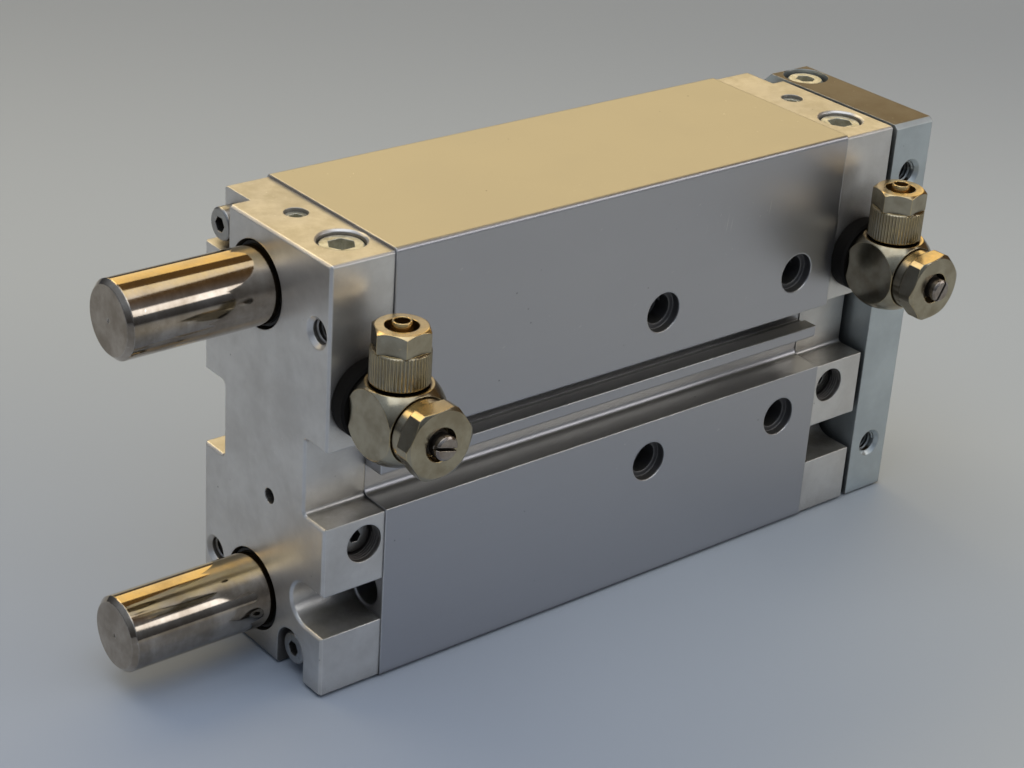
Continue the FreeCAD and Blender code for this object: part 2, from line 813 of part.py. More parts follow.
def piston_rod():
    """Rod from the yoke plate to the piston, with the neck that carries it."""
    front_x = plate_back_x + rod_land_depth
    length = front_x - piston_front_x
    neck_end = length + piston_length + 0.7 * cushion_length
    profile = [
        (0, 0),
        (piston_rod_radius, 0),
        (piston_rod_radius, length),
        (piston_neck_radius, length),
        (piston_neck_radius, neck_end),
        (0, neck_end),
    ]
    front = Vector(front_x, 0, bore_z)
    thread = rod(m6_screw_radius + thread_clearance, m6_screw_length, front, LEFT)
    return turned(profile, front, LEFT).cut(thread)


def piston_layout():
    """Axial place of each ring from the piston's rear face: start and width."""
    land = (piston_length - 2 * piston_seal_width - guide_ring_width - magnet_width) / 5
    starts = {}
    x = land
    widths = (
        ("rear_seal", piston_seal_width),
        ("magnet", magnet_width),
        ("guide_ring", guide_ring_width),
        ("front_seal", piston_seal_width),
    )
    for name, width in widths:
        starts[name] = (x, width)
        x += width + land
    return starts


def piston_groove(name, depth):
    start, width = piston_layout()[name]
    outer = bore_radius
    place_x = Vector(piston_rear_x + start, 0, bore_z)
    return ring(outer, bore_radius - depth, width, place_x, RIGHT)


def piston():
    rear = Vector(piston_rear_x, 0, bore_z)
    body = rod(bore_radius - piston_clearance, piston_length, rear, RIGHT)
    neck = rod(piston_neck_radius + thread_clearance, piston_length, rear, RIGHT)
    grooves = [
        piston_groove("rear_seal", piston_seal_depth),
        piston_groove("front_seal", piston_seal_depth),
        piston_groove("guide_ring", guide_ring_depth),
        piston_groove("magnet", magnet_depth),
    ]
    return body.cut([neck] + grooves)


def piston_ring(name, depth, outer_clearance):
    start, width = piston_layout()[name]
    place_x = Vector(piston_rear_x + start + thread_clearance, 0, bore_z)
    inner = bore_radius - depth + thread_clearance
    return ring(bore_radius - outer_clearance, inner, width - 2 * thread_clearance, place_x, RIGHT)


def lip_seal(name, direction):
    """Seal ring with a lip that leans towards the pressure side."""
    start, width = piston_layout()[name]
    first = piston_rear_x + start + thread_clearance
    last = piston_rear_x + start + width - thread_clearance
    base_x = last if direction == LEFT else first
    inner = bore_radius - piston_seal_depth + thread_clearance
    body = bore_radius - 2 * piston_clearance
    lip = bore_radius - seal_clearance
    span = width - 2 * thread_clearance
    profile = [
        (inner, 0),
        (body, 0),
        (lip, span - 0.5),
        (lip, span),
        (lip - 0.9, span),
        (lip - 1.3, span - 1.2),
        (inner, span - 1.2),
    ]
    return turned(profile, Vector(base_x, 0, bore_z), direction)


def rear_cushion_nut():
    start = Vector(piston_rear_x, 0, bore_z)
    length = cushion_length
    bevel = 0.8
    profile = [
        (0, 0),
        (cushion_radius, 0),
        (cushion_radius, length - bevel),
        (cushion_radius - bevel, length),
        (0, length),
    ]
    nut = turned(profile, start, LEFT)
    return nut.cut(rod(piston_neck_radius + thread_clearance, 0.75 * length, start, LEFT))


def front_cushion_sleeve():
    start = Vector(piston_front_x, 0, bore_z)
    bevel = 0.8
    inner = piston_rod_radius + thread_clearance
    profile = [
        (inner, 0),
        (cushion_radius, 0),
        (cushion_radius, cushion_length - bevel),
        (cushion_radius - bevel, cushion_length),
        (inner, cushion_length),
    ]
    return turned(profile, start, RIGHT)


# ---- flow control valves
def valve_point(x, reach, z=side_port_z):
    """Point on a valve, a given distance out from the cap's side."""
    return Vector(x, -cap_side_y - reach, z)


def valve_washer(x):
    """Thick sealing washer whose foot stands on the cap, clear of the housing."""
    inner = bolt_radius + thread_clearance
    bevel = 0.5
    foot = cap_inset + thread_clearance
    profile = [
        (inner, 0),
        (washer_foot_radius, 0),
        (washer_foot_radius, foot),
        (washer_radius, foot),
        (washer_radius, washer_thickness - bevel),
        (washer_radius - bevel, washer_thickness),
        (inner, washer_thickness),
    ]
    return turned(profile, valve_point(x, 0), OUTWARD)


def elbow(x):
    """Ball with round flats, bored for its bolt, with stub and hose barb."""
    centre = valve_point(x, valve_axis_reach)
    back = washer_thickness + swivel_gap
    front = valve_axis_reach + elbow_front_reach
    ball = Part.makeSphere(elbow_ball_radius, centre)
    envelope = block(
        x - elbow_flat_x,
        x + elbow_flat_x,
        -cap_side_y - front,
        -cap_side_y - back,
        centre.z - elbow_flat_bottom,
        centre.z + elbow_flat_top,
    )
    body = ball.common(envelope)
    stub_top = elbow_flat_top + stub_length
    barb_top = elbow_flat_top + barb_length
    barb = barb_radius + barb_rib
    profile = [
        (0, 0),
        (stub_radius, 0),
        (stub_radius, stub_top - 0.6),
        (stub_radius - 0.6, stub_top),
        (barb_radius, stub_top),
        (barb_radius, barb_top - 2.2),
        (barb, barb_top - 2.0),
        (barb_radius, barb_top),
        (0, barb_top),
    ]
    body = body.fuse(turned(profile, centre, UP))
    bolt_bore = rod(bolt_radius + running_clearance, front, valve_point(x, 0), OUTWARD)
    chamber_start = valve_point(x, valve_axis_reach - elbow_chamber_length / 2)
    chamber = rod(elbow_chamber_radius, elbow_chamber_length, chamber_start, OUTWARD)
    duct = rod(barb_bore_radius, barb_top, centre, UP)
    return body.cut([bolt_bore, chamber, duct])


def hollow_bolt(x, twist):
    """Hexagon-headed bolt with an air bore, cross hole and needle bore."""
    tip = -bolt_thread_length
    collar_start = valve_axis_reach + elbow_front_reach + swivel_gap
    hex_start = bolt_front_reach - bolt_hex_thickness
    origin = valve_point(x, 0)
    profile = [
        (0, tip),
        (bolt_radius - 0.6, tip),
        (bolt_radius, tip + 0.6),
        (bolt_radius, collar_start),
        (bolt_collar_radius, collar_start),
        (bolt_collar_radius, hex_start + 0.5),
        (0, hex_start + 0.5),
    ]
    bolt = turned(profile, origin, OUTWARD)
    trim = bolt_hex_trim_radius
    face_radius = bolt_hex / 2 - 0.1
    bevel = (trim - face_radius) * math.tan(math.radians(30))
    crown = turned(
        [
            (0, hex_start),
            (face_radius, hex_start),
            (trim, hex_start + bevel),
            (trim, bolt_front_reach - bevel),
            (face_radius, bolt_front_reach),
            (0, bolt_front_reach),
        ],
        origin,
        OUTWARD,
    )
    head = hexagon(bolt_hex, bolt_hex_thickness, valve_point(x, hex_start), OUTWARD, twist)
    bolt = bolt.fuse(head.common(crown))
    recess_start = valve_point(x, bolt_front_reach - bolt_recess_depth)
    needle_back = valve_axis_reach + bolt_cross_hole_radius + needle_bore_setback
    needle_start = valve_point(x, needle_back)
    needle_bore = needle_radius + running_clearance
    tools = [
        rod(bolt_bore_radius, bolt_front_reach - tip, valve_point(x, tip), OUTWARD),
        rod(needle_bore, bolt_front_reach, needle_start, OUTWARD),
        rod(bolt_recess_radius, bolt_recess_depth, recess_start, OUTWARD),
        rod(bolt_cross_hole_radius, bolt_radius * 2, valve_point(x, valve_axis_reach), UP),
    ]
    return bolt.cut(tools)


def throttle_screw(x, twist):
    """Slotted needle that stands a little out of the bolt's hexagon."""
    neck = needle_front_reach - needle_head_length
    body_back = neck - needle_body_length
    tip_back = body_back - needle_tip_length
    origin = valve_point(x, 0)
    groove = 0.35
    profile = [
        (0, tip_back),
        (0.4 * needle_tip_radius, tip_back),
        (needle_tip_radius, body_back),
        (needle_radius, body_back),
        (needle_radius, neck - 0.4),
        (needle_radius - groove, neck - 0.4),
        (needle_radius - groove, neck),
        (needle_head_radius - 0.05, neck),
        (needle_head_radius - 0.05, needle_front_reach - 0.4),
        (needle_head_radius - 0.5, needle_front_reach),
        (0, needle_front_reach),
    ]
    screw = turned(profile, origin, OUTWARD)
    slot = Part.makeBox(
        3 * needle_radius,
        needle_slot_width,
        needle_slot_depth,
        Vector(-1.5 * needle_radius, -needle_slot_width / 2, 0),
    )
    slot_start = valve_point(x, needle_front_reach - needle_slot_depth)
    return screw.cut(place(slot, slot_start, OUTWARD, twist))


def knurled_blank(radius, length, start):
    """Straight-knurled cylinder along +Z."""
    count = 2 * nut_knurl_count
    points = []
    for step in range(count):
        reach = radius - nut_knurl_depth * (step % 2)
        turn = 2 * math.pi * step / count
        points.append(Vector(reach * math.cos(turn), reach * math.sin(turn), 0))
    face = Part.Face(Part.makePolygon(points + [points[0]]))
    return place(face.extrude(Vector(0, 0, length)), start, UP)


def union_nut(x, twist):
    """Knurled union nut with a short hexagon and a wide mouth for the tube."""
    bottom = elbow_flat_top + nut_gap
    top = bottom + nut_knurl_length + nut_hex_length
    outer = stub_radius + running_clearance + nut_wall
    centre = valve_point(x, valve_axis_reach)
    start = centre + UP * bottom
    blank = knurled_blank(outer, nut_knurl_length, start)
    bevel = 0.35
    knurl_envelope = turned(
        [
            (0, 0),
            (outer - bevel, 0),
            (outer, bevel),
            (outer, nut_knurl_length - bevel),
            (outer - bevel, nut_knurl_length),
            (0, nut_knurl_length),
        ],
        start,
        UP,
    )
    corner = nut_hex / math.sqrt(3)
    hex_start = start + UP * nut_knurl_length
    hex_envelope = turned(
        [
            (0, 0),
            (corner, 0),
            (corner, nut_hex_length - 0.6),
            (nut_top_radius, nut_hex_length),
            (0, nut_hex_length),
        ],
        hex_start,
        UP,
    )
    head = hexagon(nut_hex, nut_hex_length, hex_start, UP, twist).common(hex_envelope)
    nut = blank.common(knurl_envelope).fuse(head)
    thread = rod(stub_radius + running_clearance, nut_thread_length, start, UP)
    cone = Part.makeCone(
        stub_radius + running_clearance,
        nut_mouth_radius,
        stub_radius + running_clearance - nut_mouth_radius,
        start + UP * nut_thread_length,
        UP,
    )
    mouth = rod(nut_mouth_radius, top, start, UP)
    return nut.cut([thread, cone, mouth])


# ---- build every node
def build_parts():
    parts = {
        "housing": housing(),
        "rear_cap": rear_cap(),
        "front_cap": front_cap(),
        "cap_tie_screws": tie_screws(),
        "piston_rod_bush": piston_rod_bush(),
        "piston_rod_seal": piston_rod_seal(),
        "yoke_plate": yoke_plate(),
        "upper_guide_rod": guide_rod(upper_guide_z),
        "lower_guide_rod": guide_rod(lower_guide_z),
        "guide_rod_screws": guide_rod_screws(),
        "piston_rod_screw": piston_rod_screw(),
        "yoke_top_screw": yoke_top_screw(),
        "piston_rod": piston_rod(),
        "piston": piston(),
        "rear_piston_seal": lip_seal("rear_seal", LEFT),
        "front_piston_seal": lip_seal("front_seal", RIGHT),
        "piston_guide_ring": piston_ring("guide_ring", guide_ring_depth, seal_clearance),
        "piston_magnet": piston_ring("magnet", magnet_depth, 2 * piston_clearance),
        "rear_cushion_nut": rear_cushion_nut(),
        "front_cushion_sleeve": front_cushion_sleeve(),
    }
    guides = (("upper", upper_guide_z), ("lower", lower_guide_z))
    ends = (
        ("rear", rear_joint_x, rear_face_x, rear_port_x, rear_cushion_screw_x, RIGHT),
        ("front", front_joint_x, front_face_x, front_port_x, front_cushion_screw_x, LEFT),
    )
    bolt_twist = {"rear": 4.0, "front": 9.0}
    needle_twist = {"rear": -15.0, "front": 60.0}
    for end, joint_x, face_x, port_x, screw_x, inward in ends:
        for level, z in guides:
            parts[f"{level}_{end}_guide_bush"] = guide_bush(joint_x, z, inward)
            parts[f"{level}_{end}_rod_wiper"] = rod_wiper(face_x, z, inward)
        parts[f"{end}_cap_o_ring"] = cap_o_ring(joint_x, inward)
        parts[f"{end}_cushion_seal"] = cushion_seal(joint_x, inward)
        parts[f"{end}_top_port_plug"] = port_plug(port_x)
        parts[f"{end}_vent_screw"] = vent_screw(port_x)
        parts[f"{end}_cushion_screw"] = cushion_screw(screw_x)
        parts[f"{end}_valve_washer"] = valve_washer(port_x)
        parts[f"{end}_hollow_bolt"] = hollow_bolt(port_x, bolt_twist[end])
        parts[f"{end}_throttle_screw"] = throttle_screw(port_x, needle_twist[end])
        parts[f"{end}_elbow"] = elbow(port_x)
        parts[f"{end}_union_nut"] = union_nut(port_x, bolt_twist[end])
    return parts


os.makedirs("parts", exist_ok=True)
for node, shape in build_parts().items():
    shape.exportStep(f"parts/{node}.step")
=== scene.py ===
"""Looks of a guided pneumatic cylinder with two swivelling flow control valves.

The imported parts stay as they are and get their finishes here. New pieces are
the screw threads that show in holes and on the throttle needles, and the brass
lips of the two hose barbs. All lengths are in metres, in the frame of the
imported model.
"""

import json
import logging
import math
from dataclasses import dataclass, field
from enum import Enum
from typing import NamedTuple

import bpy
from mathutils import Matrix, Vector


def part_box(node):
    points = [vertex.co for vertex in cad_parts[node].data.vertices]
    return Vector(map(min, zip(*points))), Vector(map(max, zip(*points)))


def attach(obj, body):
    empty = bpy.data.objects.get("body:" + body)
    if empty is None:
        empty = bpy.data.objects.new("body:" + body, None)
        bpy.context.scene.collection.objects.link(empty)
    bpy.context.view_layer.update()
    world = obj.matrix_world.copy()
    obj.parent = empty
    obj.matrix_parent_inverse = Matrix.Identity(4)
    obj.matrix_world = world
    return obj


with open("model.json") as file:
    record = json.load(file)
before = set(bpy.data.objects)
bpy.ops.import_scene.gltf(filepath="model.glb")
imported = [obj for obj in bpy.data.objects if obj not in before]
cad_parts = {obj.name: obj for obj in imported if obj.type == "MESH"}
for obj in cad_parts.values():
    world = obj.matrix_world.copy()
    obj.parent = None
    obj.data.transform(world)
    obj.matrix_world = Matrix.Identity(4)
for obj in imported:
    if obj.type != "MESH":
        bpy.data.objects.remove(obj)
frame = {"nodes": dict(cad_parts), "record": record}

LOG = logging.getLogger("guided_cylinder")
MM = 0.001
ENDS = ("rear", "front")
LEVELS = ("upper", "lower")
Colour = tuple[float, float, float]
Triple = tuple[float, float, float]


class Facing(Enum):
    """Directions that a new piece's own +Z axis can be turned to."""

    REAR = (-1.0, 0.0, 0.0)
    FRONT = (1.0, 0.0, 0.0)
    NEAR = (0.0, -1.0, 0.0)
    FAR = (0.0, 1.0, 0.0)

    def turn(self) -> Matrix:
        """Rotation that takes +Z to this direction."""
        return Vector(self.value).to_track_quat("Z", "Y").to_matrix().to_4x4()


class Grain(Enum):
    """How the fine marks of a machined surface run, as noise scales per metre."""

    BLASTED = (2600.0, 2600.0, 2600.0)
    EXTRUDED = (14.0, 2400.0, 2400.0)
    GROUND_ROUND = (5200.0, 60.0, 60.0)
    ROLLED = (900.0, 900.0, 60.0)
    PITTED = (900.0, 900.0, 900.0)


def middle_of(name: str) -> Vector:
    """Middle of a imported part's box."""
    low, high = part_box(name)
    return (low + high) / 2


# ---------------------------------------------------------------- node helpers
FLOAT = "NodeSocketFloat"
VECTOR = "NodeSocketVector"
GIVES_NUMBER = ("DOT_PRODUCT", "LENGTH")


class Graph:
    """Short way to add and join the nodes of one tree."""

    def __init__(self, tree: bpy.types.NodeTree) -> None:
        """Keep the tree that the nodes go into."""
        self.tree = tree

    def add(self, kind: str, inputs: dict | None = None, **settings: object) -> bpy.types.Node:
        """Add a node.

        Args:
            kind: the node's type name.
            inputs: values or output sockets by input name or number.
            settings: attributes set on the node before its inputs.

        Returns:
            The new node.
        """
        node = self.tree.nodes.new(kind)
        for name, value in settings.items():
            setattr(node, name, value)
        for key, value in (inputs or {}).items():
            if isinstance(value, bpy.types.NodeSocket):
                self.tree.links.new(value, node.inputs[key])
            else:
                node.inputs[key].default_value = value
        return node

    def join(self, node: bpy.types.Node, inputs: dict[str, bpy.types.NodeSocket]) -> None:
        """Link output sockets to a node's inputs, by input name."""
        for name, socket in inputs.items():
            self.tree.links.new(socket, node.inputs[name])

    def group(self, tree: bpy.types.NodeTree, inputs: dict) -> bpy.types.Node:
        """Add a shared node group and set its inputs."""
        return self.add("ShaderNodeGroup", inputs, node_tree=tree)

    def math(self, operation: str, first: object, second: object = 0.0, clamp: bool = False):
        """Result socket of one Math node."""
        node = self.add("ShaderNodeMath", {0: first, 1: second}, operation=operation, use_clamp=clamp)
        return node.outputs[0]

    def vector(self, operation: str, first: object, second: object | None = None):
        """Result socket of one Vector Math node."""
        inputs = {0: first} if second is None else {0: first, 1: second}
        node = self.add("ShaderNodeVectorMath", inputs, operation=operation)
        return node.outputs["Value" if operation in GIVES_NUMBER else "Vector"]

    def mix(self, share: object, first: object, second: object):
        """Result socket of a Mix node between two colours or colour sockets."""
        paints = [(*paint, 1.0) if isinstance(paint, tuple) else paint for paint in (first, second)]
        node = self.add("ShaderNodeMix", {0: share, 6: paints[0], 7: paints[1]}, data_type="RGBA")
        return node.outputs[2]

    def span(
        self, value: object, low: float, high: float, out_low: float = 0.0, out_high: float = 1.0
    ):
        """Result socket of a clamped, smooth Map Range node."""
        node = self.add(
            "ShaderNodeMapRange",
            {0: value, 1: low, 2: high, 3: out_low, 4: out_high},
            interpolation_type="SMOOTHSTEP",
        )
        return node.outputs[0]

    def noise(self, vector: object, scale: float, detail: float = 3.0, roughness: float = 0.5):
        """Factor socket of a Noise Texture node."""
        node = self.add(
            "ShaderNodeTexNoise",
            {"Vector": vector, "Scale": scale, "Detail": detail, "Roughness": roughness},
        )
        return node.outputs["Fac"]

    def within(self, parts: bpy.types.Node, axes: str, radius: object, rim: float):
        """Mask of what lies close round an axis.

        Args:
            parts: Separate XYZ node of the way from the axis.
            axes: the two axes that the radius is measured in.
            radius: how far the mask reaches.
            rim: where the mask has faded out, in radii.

        Returns:
            The mask's socket.
        """
        flat = self.add("ShaderNodeCombineXYZ", {axis: parts.outputs[axis] for axis in axes})
        share = self.math("DIVIDE", self.vector("LENGTH", flat.outputs[0]), radius)
        return self.span(share, rim, 1.0)


def new_group(name: str, inputs: dict, outputs: dict) -> tuple[Graph, bpy.types.Node, bpy.types.Node]:
    """Make an empty shader node group.

    Args:
        name: the group's name.
        inputs: socket kind and default value by input name.
        outputs: socket kind by output name.

    Returns:
        Its graph, its input node and its output node.
    """
    tree = bpy.data.node_groups.new(name, "ShaderNodeTree")
    for label, (kind, value) in inputs.items():
        socket = tree.interface.new_socket(label, in_out="INPUT", socket_type=kind)
        if value is not None:
            socket.default_value = value
    for label, kind in outputs.items():
        tree.interface.new_socket(label, in_out="OUTPUT", socket_type=kind)
    graph = Graph(tree)
    return graph, graph.add("NodeGroupInput"), graph.add("NodeGroupOutput")


class Surface(NamedTuple):
    """A new material with what its finish is built from."""

    material: bpy.types.Material
    graph: Graph
    shader: bpy.types.Node
    place: bpy.types.NodeSocket


def new_surface(name: str) -> Surface:
    """Make a material that is still plain."""
    material = bpy.data.materials.new(name)
    material.use_nodes = True
    graph = Graph(material.node_tree)
    place = graph.add("ShaderNodeTexCoord").outputs["Object"]
    return Surface(material, graph, material.node_tree.nodes["Principled BSDF"], place)


@dataclass
class Effects:
    """The shader node groups that the finishes share."""

    rays: int = 6
    edge: bpy.types.NodeTree = field(init=False)
    grain: bpy.types.NodeTree = field(init=False)
    marks: bpy.types.NodeTree = field(init=False)
    crevice_shade: bpy.types.NodeTree = field(init=False)
    top_reflection: bpy.types.NodeTree = field(init=False)
    core: bpy.types.NodeTree = field(init=False)
    bore_shade: bpy.types.NodeTree = field(init=False)

    def __post_init__(self) -> None:
        """Build each group once."""
        self.edge = self._edge()
        self.grain = self._grain()
        self.marks = self._marks()
        self.crevice_shade = self._crevice_shade()
        self.top_reflection = self._top_reflection()
        self.core = self._core()
        self.bore_shade = self._bore_shade()

    def _edge(self) -> bpy.types.NodeTree:
        """Rounded normal and a broken mask of the outer edges."""
        graph, start, end = new_group(
            "Rounded edges",
            {"Radius": (FLOAT, 0.0004), "Vector": (VECTOR, None)},
            {"Normal": VECTOR, "Mask": FLOAT},
        )
        rounded = graph.add("ShaderNodeBevel", {"Radius": start.outputs["Radius"]}, samples=self.rays)
        flat = graph.add("ShaderNodeNewGeometry")
        cosine = graph.vector("DOT_PRODUCT", rounded.outputs[0], flat.outputs["Normal"])
        mask = graph.span(cosine, 0.985, 0.90)
        cloud = graph.noise(start.outputs["Vector"], scale=420.0)
        broken = graph.span(cloud, 0.32, 0.62, out_low=0.35)
        graph.join(
            end, {"Normal": rounded.outputs[0], "Mask": graph.math("MULTIPLY", mask, broken)}
        )
        return graph.tree

    def _grain(self) -> bpy.types.NodeTree:
        """Fine directional grain as a height and a softer tone."""
        graph, start, end = new_group(
            "Machined grain",
            {"Vector": (VECTOR, None), "Frequency": (VECTOR, None)},
            {"Height": FLOAT, "Tone": FLOAT},
        )
        spread = graph.vector("MULTIPLY", start.outputs["Vector"], start.outputs["Frequency"])
        fine = graph.noise(spread, scale=1.0, detail=3.0, roughness=0.6)
        coarse = graph.noise(spread, scale=0.16, detail=2.0)
        graph.join(end, {"Height": fine, "Tone": coarse})
        return graph.tree

    def _marks(self) -> bpy.types.NodeTree:
        """Sparse hairline scratches, small nicks and wide smudges."""
        graph, start, end = new_group(
            "Handling marks",
            {"Vector": (VECTOR, None), "Density": (FLOAT, 0.5)},
            {"Scratch": FLOAT, "Nick": FLOAT, "Smudge": FLOAT},
        )
        vector, density = start.outputs["Vector"], start.outputs["Density"]
        scratch = None
        for angle, seed in ((0.5, 0.0), (-0.9, 3.1), (1.35, 7.7)):
            turned = graph.add(
                "ShaderNodeMapping",
                {0: vector, 1: (seed, seed, seed), 2: (angle, angle * 0.7, angle)},
            ).outputs[0]
            stretched = graph.vector("MULTIPLY", turned, (35.0, 1500.0, 1500.0))
            line = graph.noise(stretched, scale=1.0, detail=1.0, roughness=0.4)
            line = graph.span(line, 0.755, 0.81)
            patch = graph.span(graph.noise(turned, scale=60.0, detail=2.0), 0.54, 0.64)
            line = graph.math("MULTIPLY", line, patch)
            scratch = line if scratch is None else graph.math("MAXIMUM", scratch, line)
        dots = graph.add(
            "ShaderNodeTexVoronoi", {"Vector": vector, "Scale": 330.0, "Randomness": 1.0}
        )
        nick = graph.span(dots.outputs["Distance"], 0.09, 0.03)
        rare = graph.span(graph.noise(vector, scale=140.0, detail=1.0), 0.60, 0.68)
        nick = graph.math("MULTIPLY", nick, rare)
        smudge = graph.noise(vector, scale=42.0, detail=4.0, roughness=0.6)
        graph.join(
            end,
            {
                "Scratch": graph.math("MULTIPLY", scratch, density),
                "Nick": graph.math("MULTIPLY", nick, density),
                "Smudge": graph.span(smudge, 0.35, 0.7),
            },
        )
        return graph.tree

    def _crevice_shade(self) -> bpy.types.NodeTree:
        """Masks of narrow gaps, deep holes and shallow grooves, by occlusion: dirt and painted shade
        in the gaps, painted shade in the holes and grooves.
        """
        graph, start, end = new_group(
            "Shade in gaps and holes",
            {"Gap": (FLOAT, 0.0012), "Hole": (FLOAT, 0.005), "Vector": (VECTOR, None)},
            {"Gap": FLOAT, "Hole": FLOAT, "Groove": FLOAT},
        )
        near, far = (
            graph.add(
                "ShaderNodeAmbientOcclusion", {"Distance": start.outputs[reach]}, samples=self.rays
            ).outputs["AO"]
            for reach in ("Gap", "Hole")
        )
        gap = graph.span(near, 0.72, 0.2)
        blotch = graph.span(graph.noise(start.outputs["Vector"], scale=300.0), 0.3, 0.7, out_low=0.6)
        graph.join(
            end,
            {
                "Gap": graph.math("MULTIPLY", gap, blotch),
                "Hole": graph.span(far, 0.68, 0.24),
                "Groove": graph.span(near, 0.99, 0.74),
            },
        )
        return graph.tree

    def _top_reflection(self) -> bpy.types.NodeTree:
        """Mask of faces that look up, where a tint is painted in place of the light that they
        reflect.
        """
        graph, start, end = new_group(
            "Painted top reflection", {"Vector": (VECTOR, None), "Patchiness": (FLOAT, 0.3)}, {"Mask": FLOAT}
        )
        normal = graph.add("ShaderNodeTexCoord").outputs["Normal"]
        upward = graph.add("ShaderNodeSeparateXYZ", {0: normal}).outputs["Z"]
        level = graph.span(upward, 0.6, 0.9)
        cloud = graph.noise(start.outputs["Vector"], scale=130.0, detail=5.0, roughness=0.7)
        cloud = graph.span(cloud, 0.35, 0.65)
        thin = graph.math("MULTIPLY", cloud, start.outputs["Patchiness"])
        full = graph.math("SUBTRACT", level, thin, clamp=True)
        graph.join(end, {"Mask": graph.math("MULTIPLY", full, level)})
        return graph.tree

    def _core(self) -> bpy.types.NodeTree:
        """Mask of what lies close round an upright axis, above a level."""
        graph, start, end = new_group(
            "Bare core",
            {"Vector": (VECTOR, None), "Axis": (VECTOR, None), "Radius": (FLOAT, 0.0034)},
            {"Mask": FLOAT},
        )
        away = graph.vector("SUBTRACT", start.outputs["Vector"], start.outputs["Axis"])
        parts = graph.add("ShaderNodeSeparateXYZ", {0: away})
        inside = graph.within(parts, "XY", start.outputs["Radius"], rim=1.06)
        above = graph.span(parts.outputs["Z"], 0.0, 0.0003)
        graph.join(end, {"Mask": graph.math("MULTIPLY", inside, above)})
        return graph.tree

    def _bore_shade(self) -> bpy.types.NodeTree:
        """Mask of painted shade on the walls of holes bored along Y, in a pattern mirrored about its
        middle.
        """
        graph, start, end = new_group(
            "Painted shade in bored holes",
            {"Vector": (VECTOR, None), "Middle": (VECTOR, None), "Step": (VECTOR, None),
             "Radius": (FLOAT, 0.004)},
            {"Mask": FLOAT},
        )
        away = graph.vector("SUBTRACT", start.outputs["Vector"], start.outputs["Middle"])
        off = graph.vector("SUBTRACT", graph.vector("ABSOLUTE", away), start.outputs["Step"])
        parts = graph.add("ShaderNodeSeparateXYZ", {0: off})
        inside = graph.within(parts, "XZ", start.outputs["Radius"], rim=1.05)
        below = graph.span(parts.outputs["Y"], -0.0001, -0.0006)
        graph.join(end, {"Mask": graph.math("MULTIPLY", inside, below)})
        return graph.tree


# -------------------------------------------------------------------- finishes
GRAIN_TONE = 0.35       # how much the coarse grain tints the metal
SCRATCH_SHINE = 0.5     # how bright a scratch is
NICK_DIRT = 0.7         # how much dirt a nick holds
DIRT_ROUGHNESS = 0.3    # roughness that dirt adds
WORN_GLOSS = 0.08       # roughness that a worn edge loses
SCRATCH_CUT = 1.2       # depth of a scratch, in grain depths
NICK_CUT = 3.0          # depth of a nick, in grain depths


@dataclass(frozen=True)
class Core:
    """Bare metal that shows close round an upright axis."""

    axis: Triple
    colour: Colour
    radius: float = 3.4 * MM


@dataclass(frozen=True)
class BoreShade:
    """Holes bored along Y whose walls get painted shade."""

    middle: Triple
    step: Triple
    radius: float
    share: float = 0.74


@dataclass(frozen=True)
class TopReflection:
    """Painted reflection: a tint on faces that look up, in place of the light that they reflect."""

    colour: Colour
    share: float
    patchiness: float


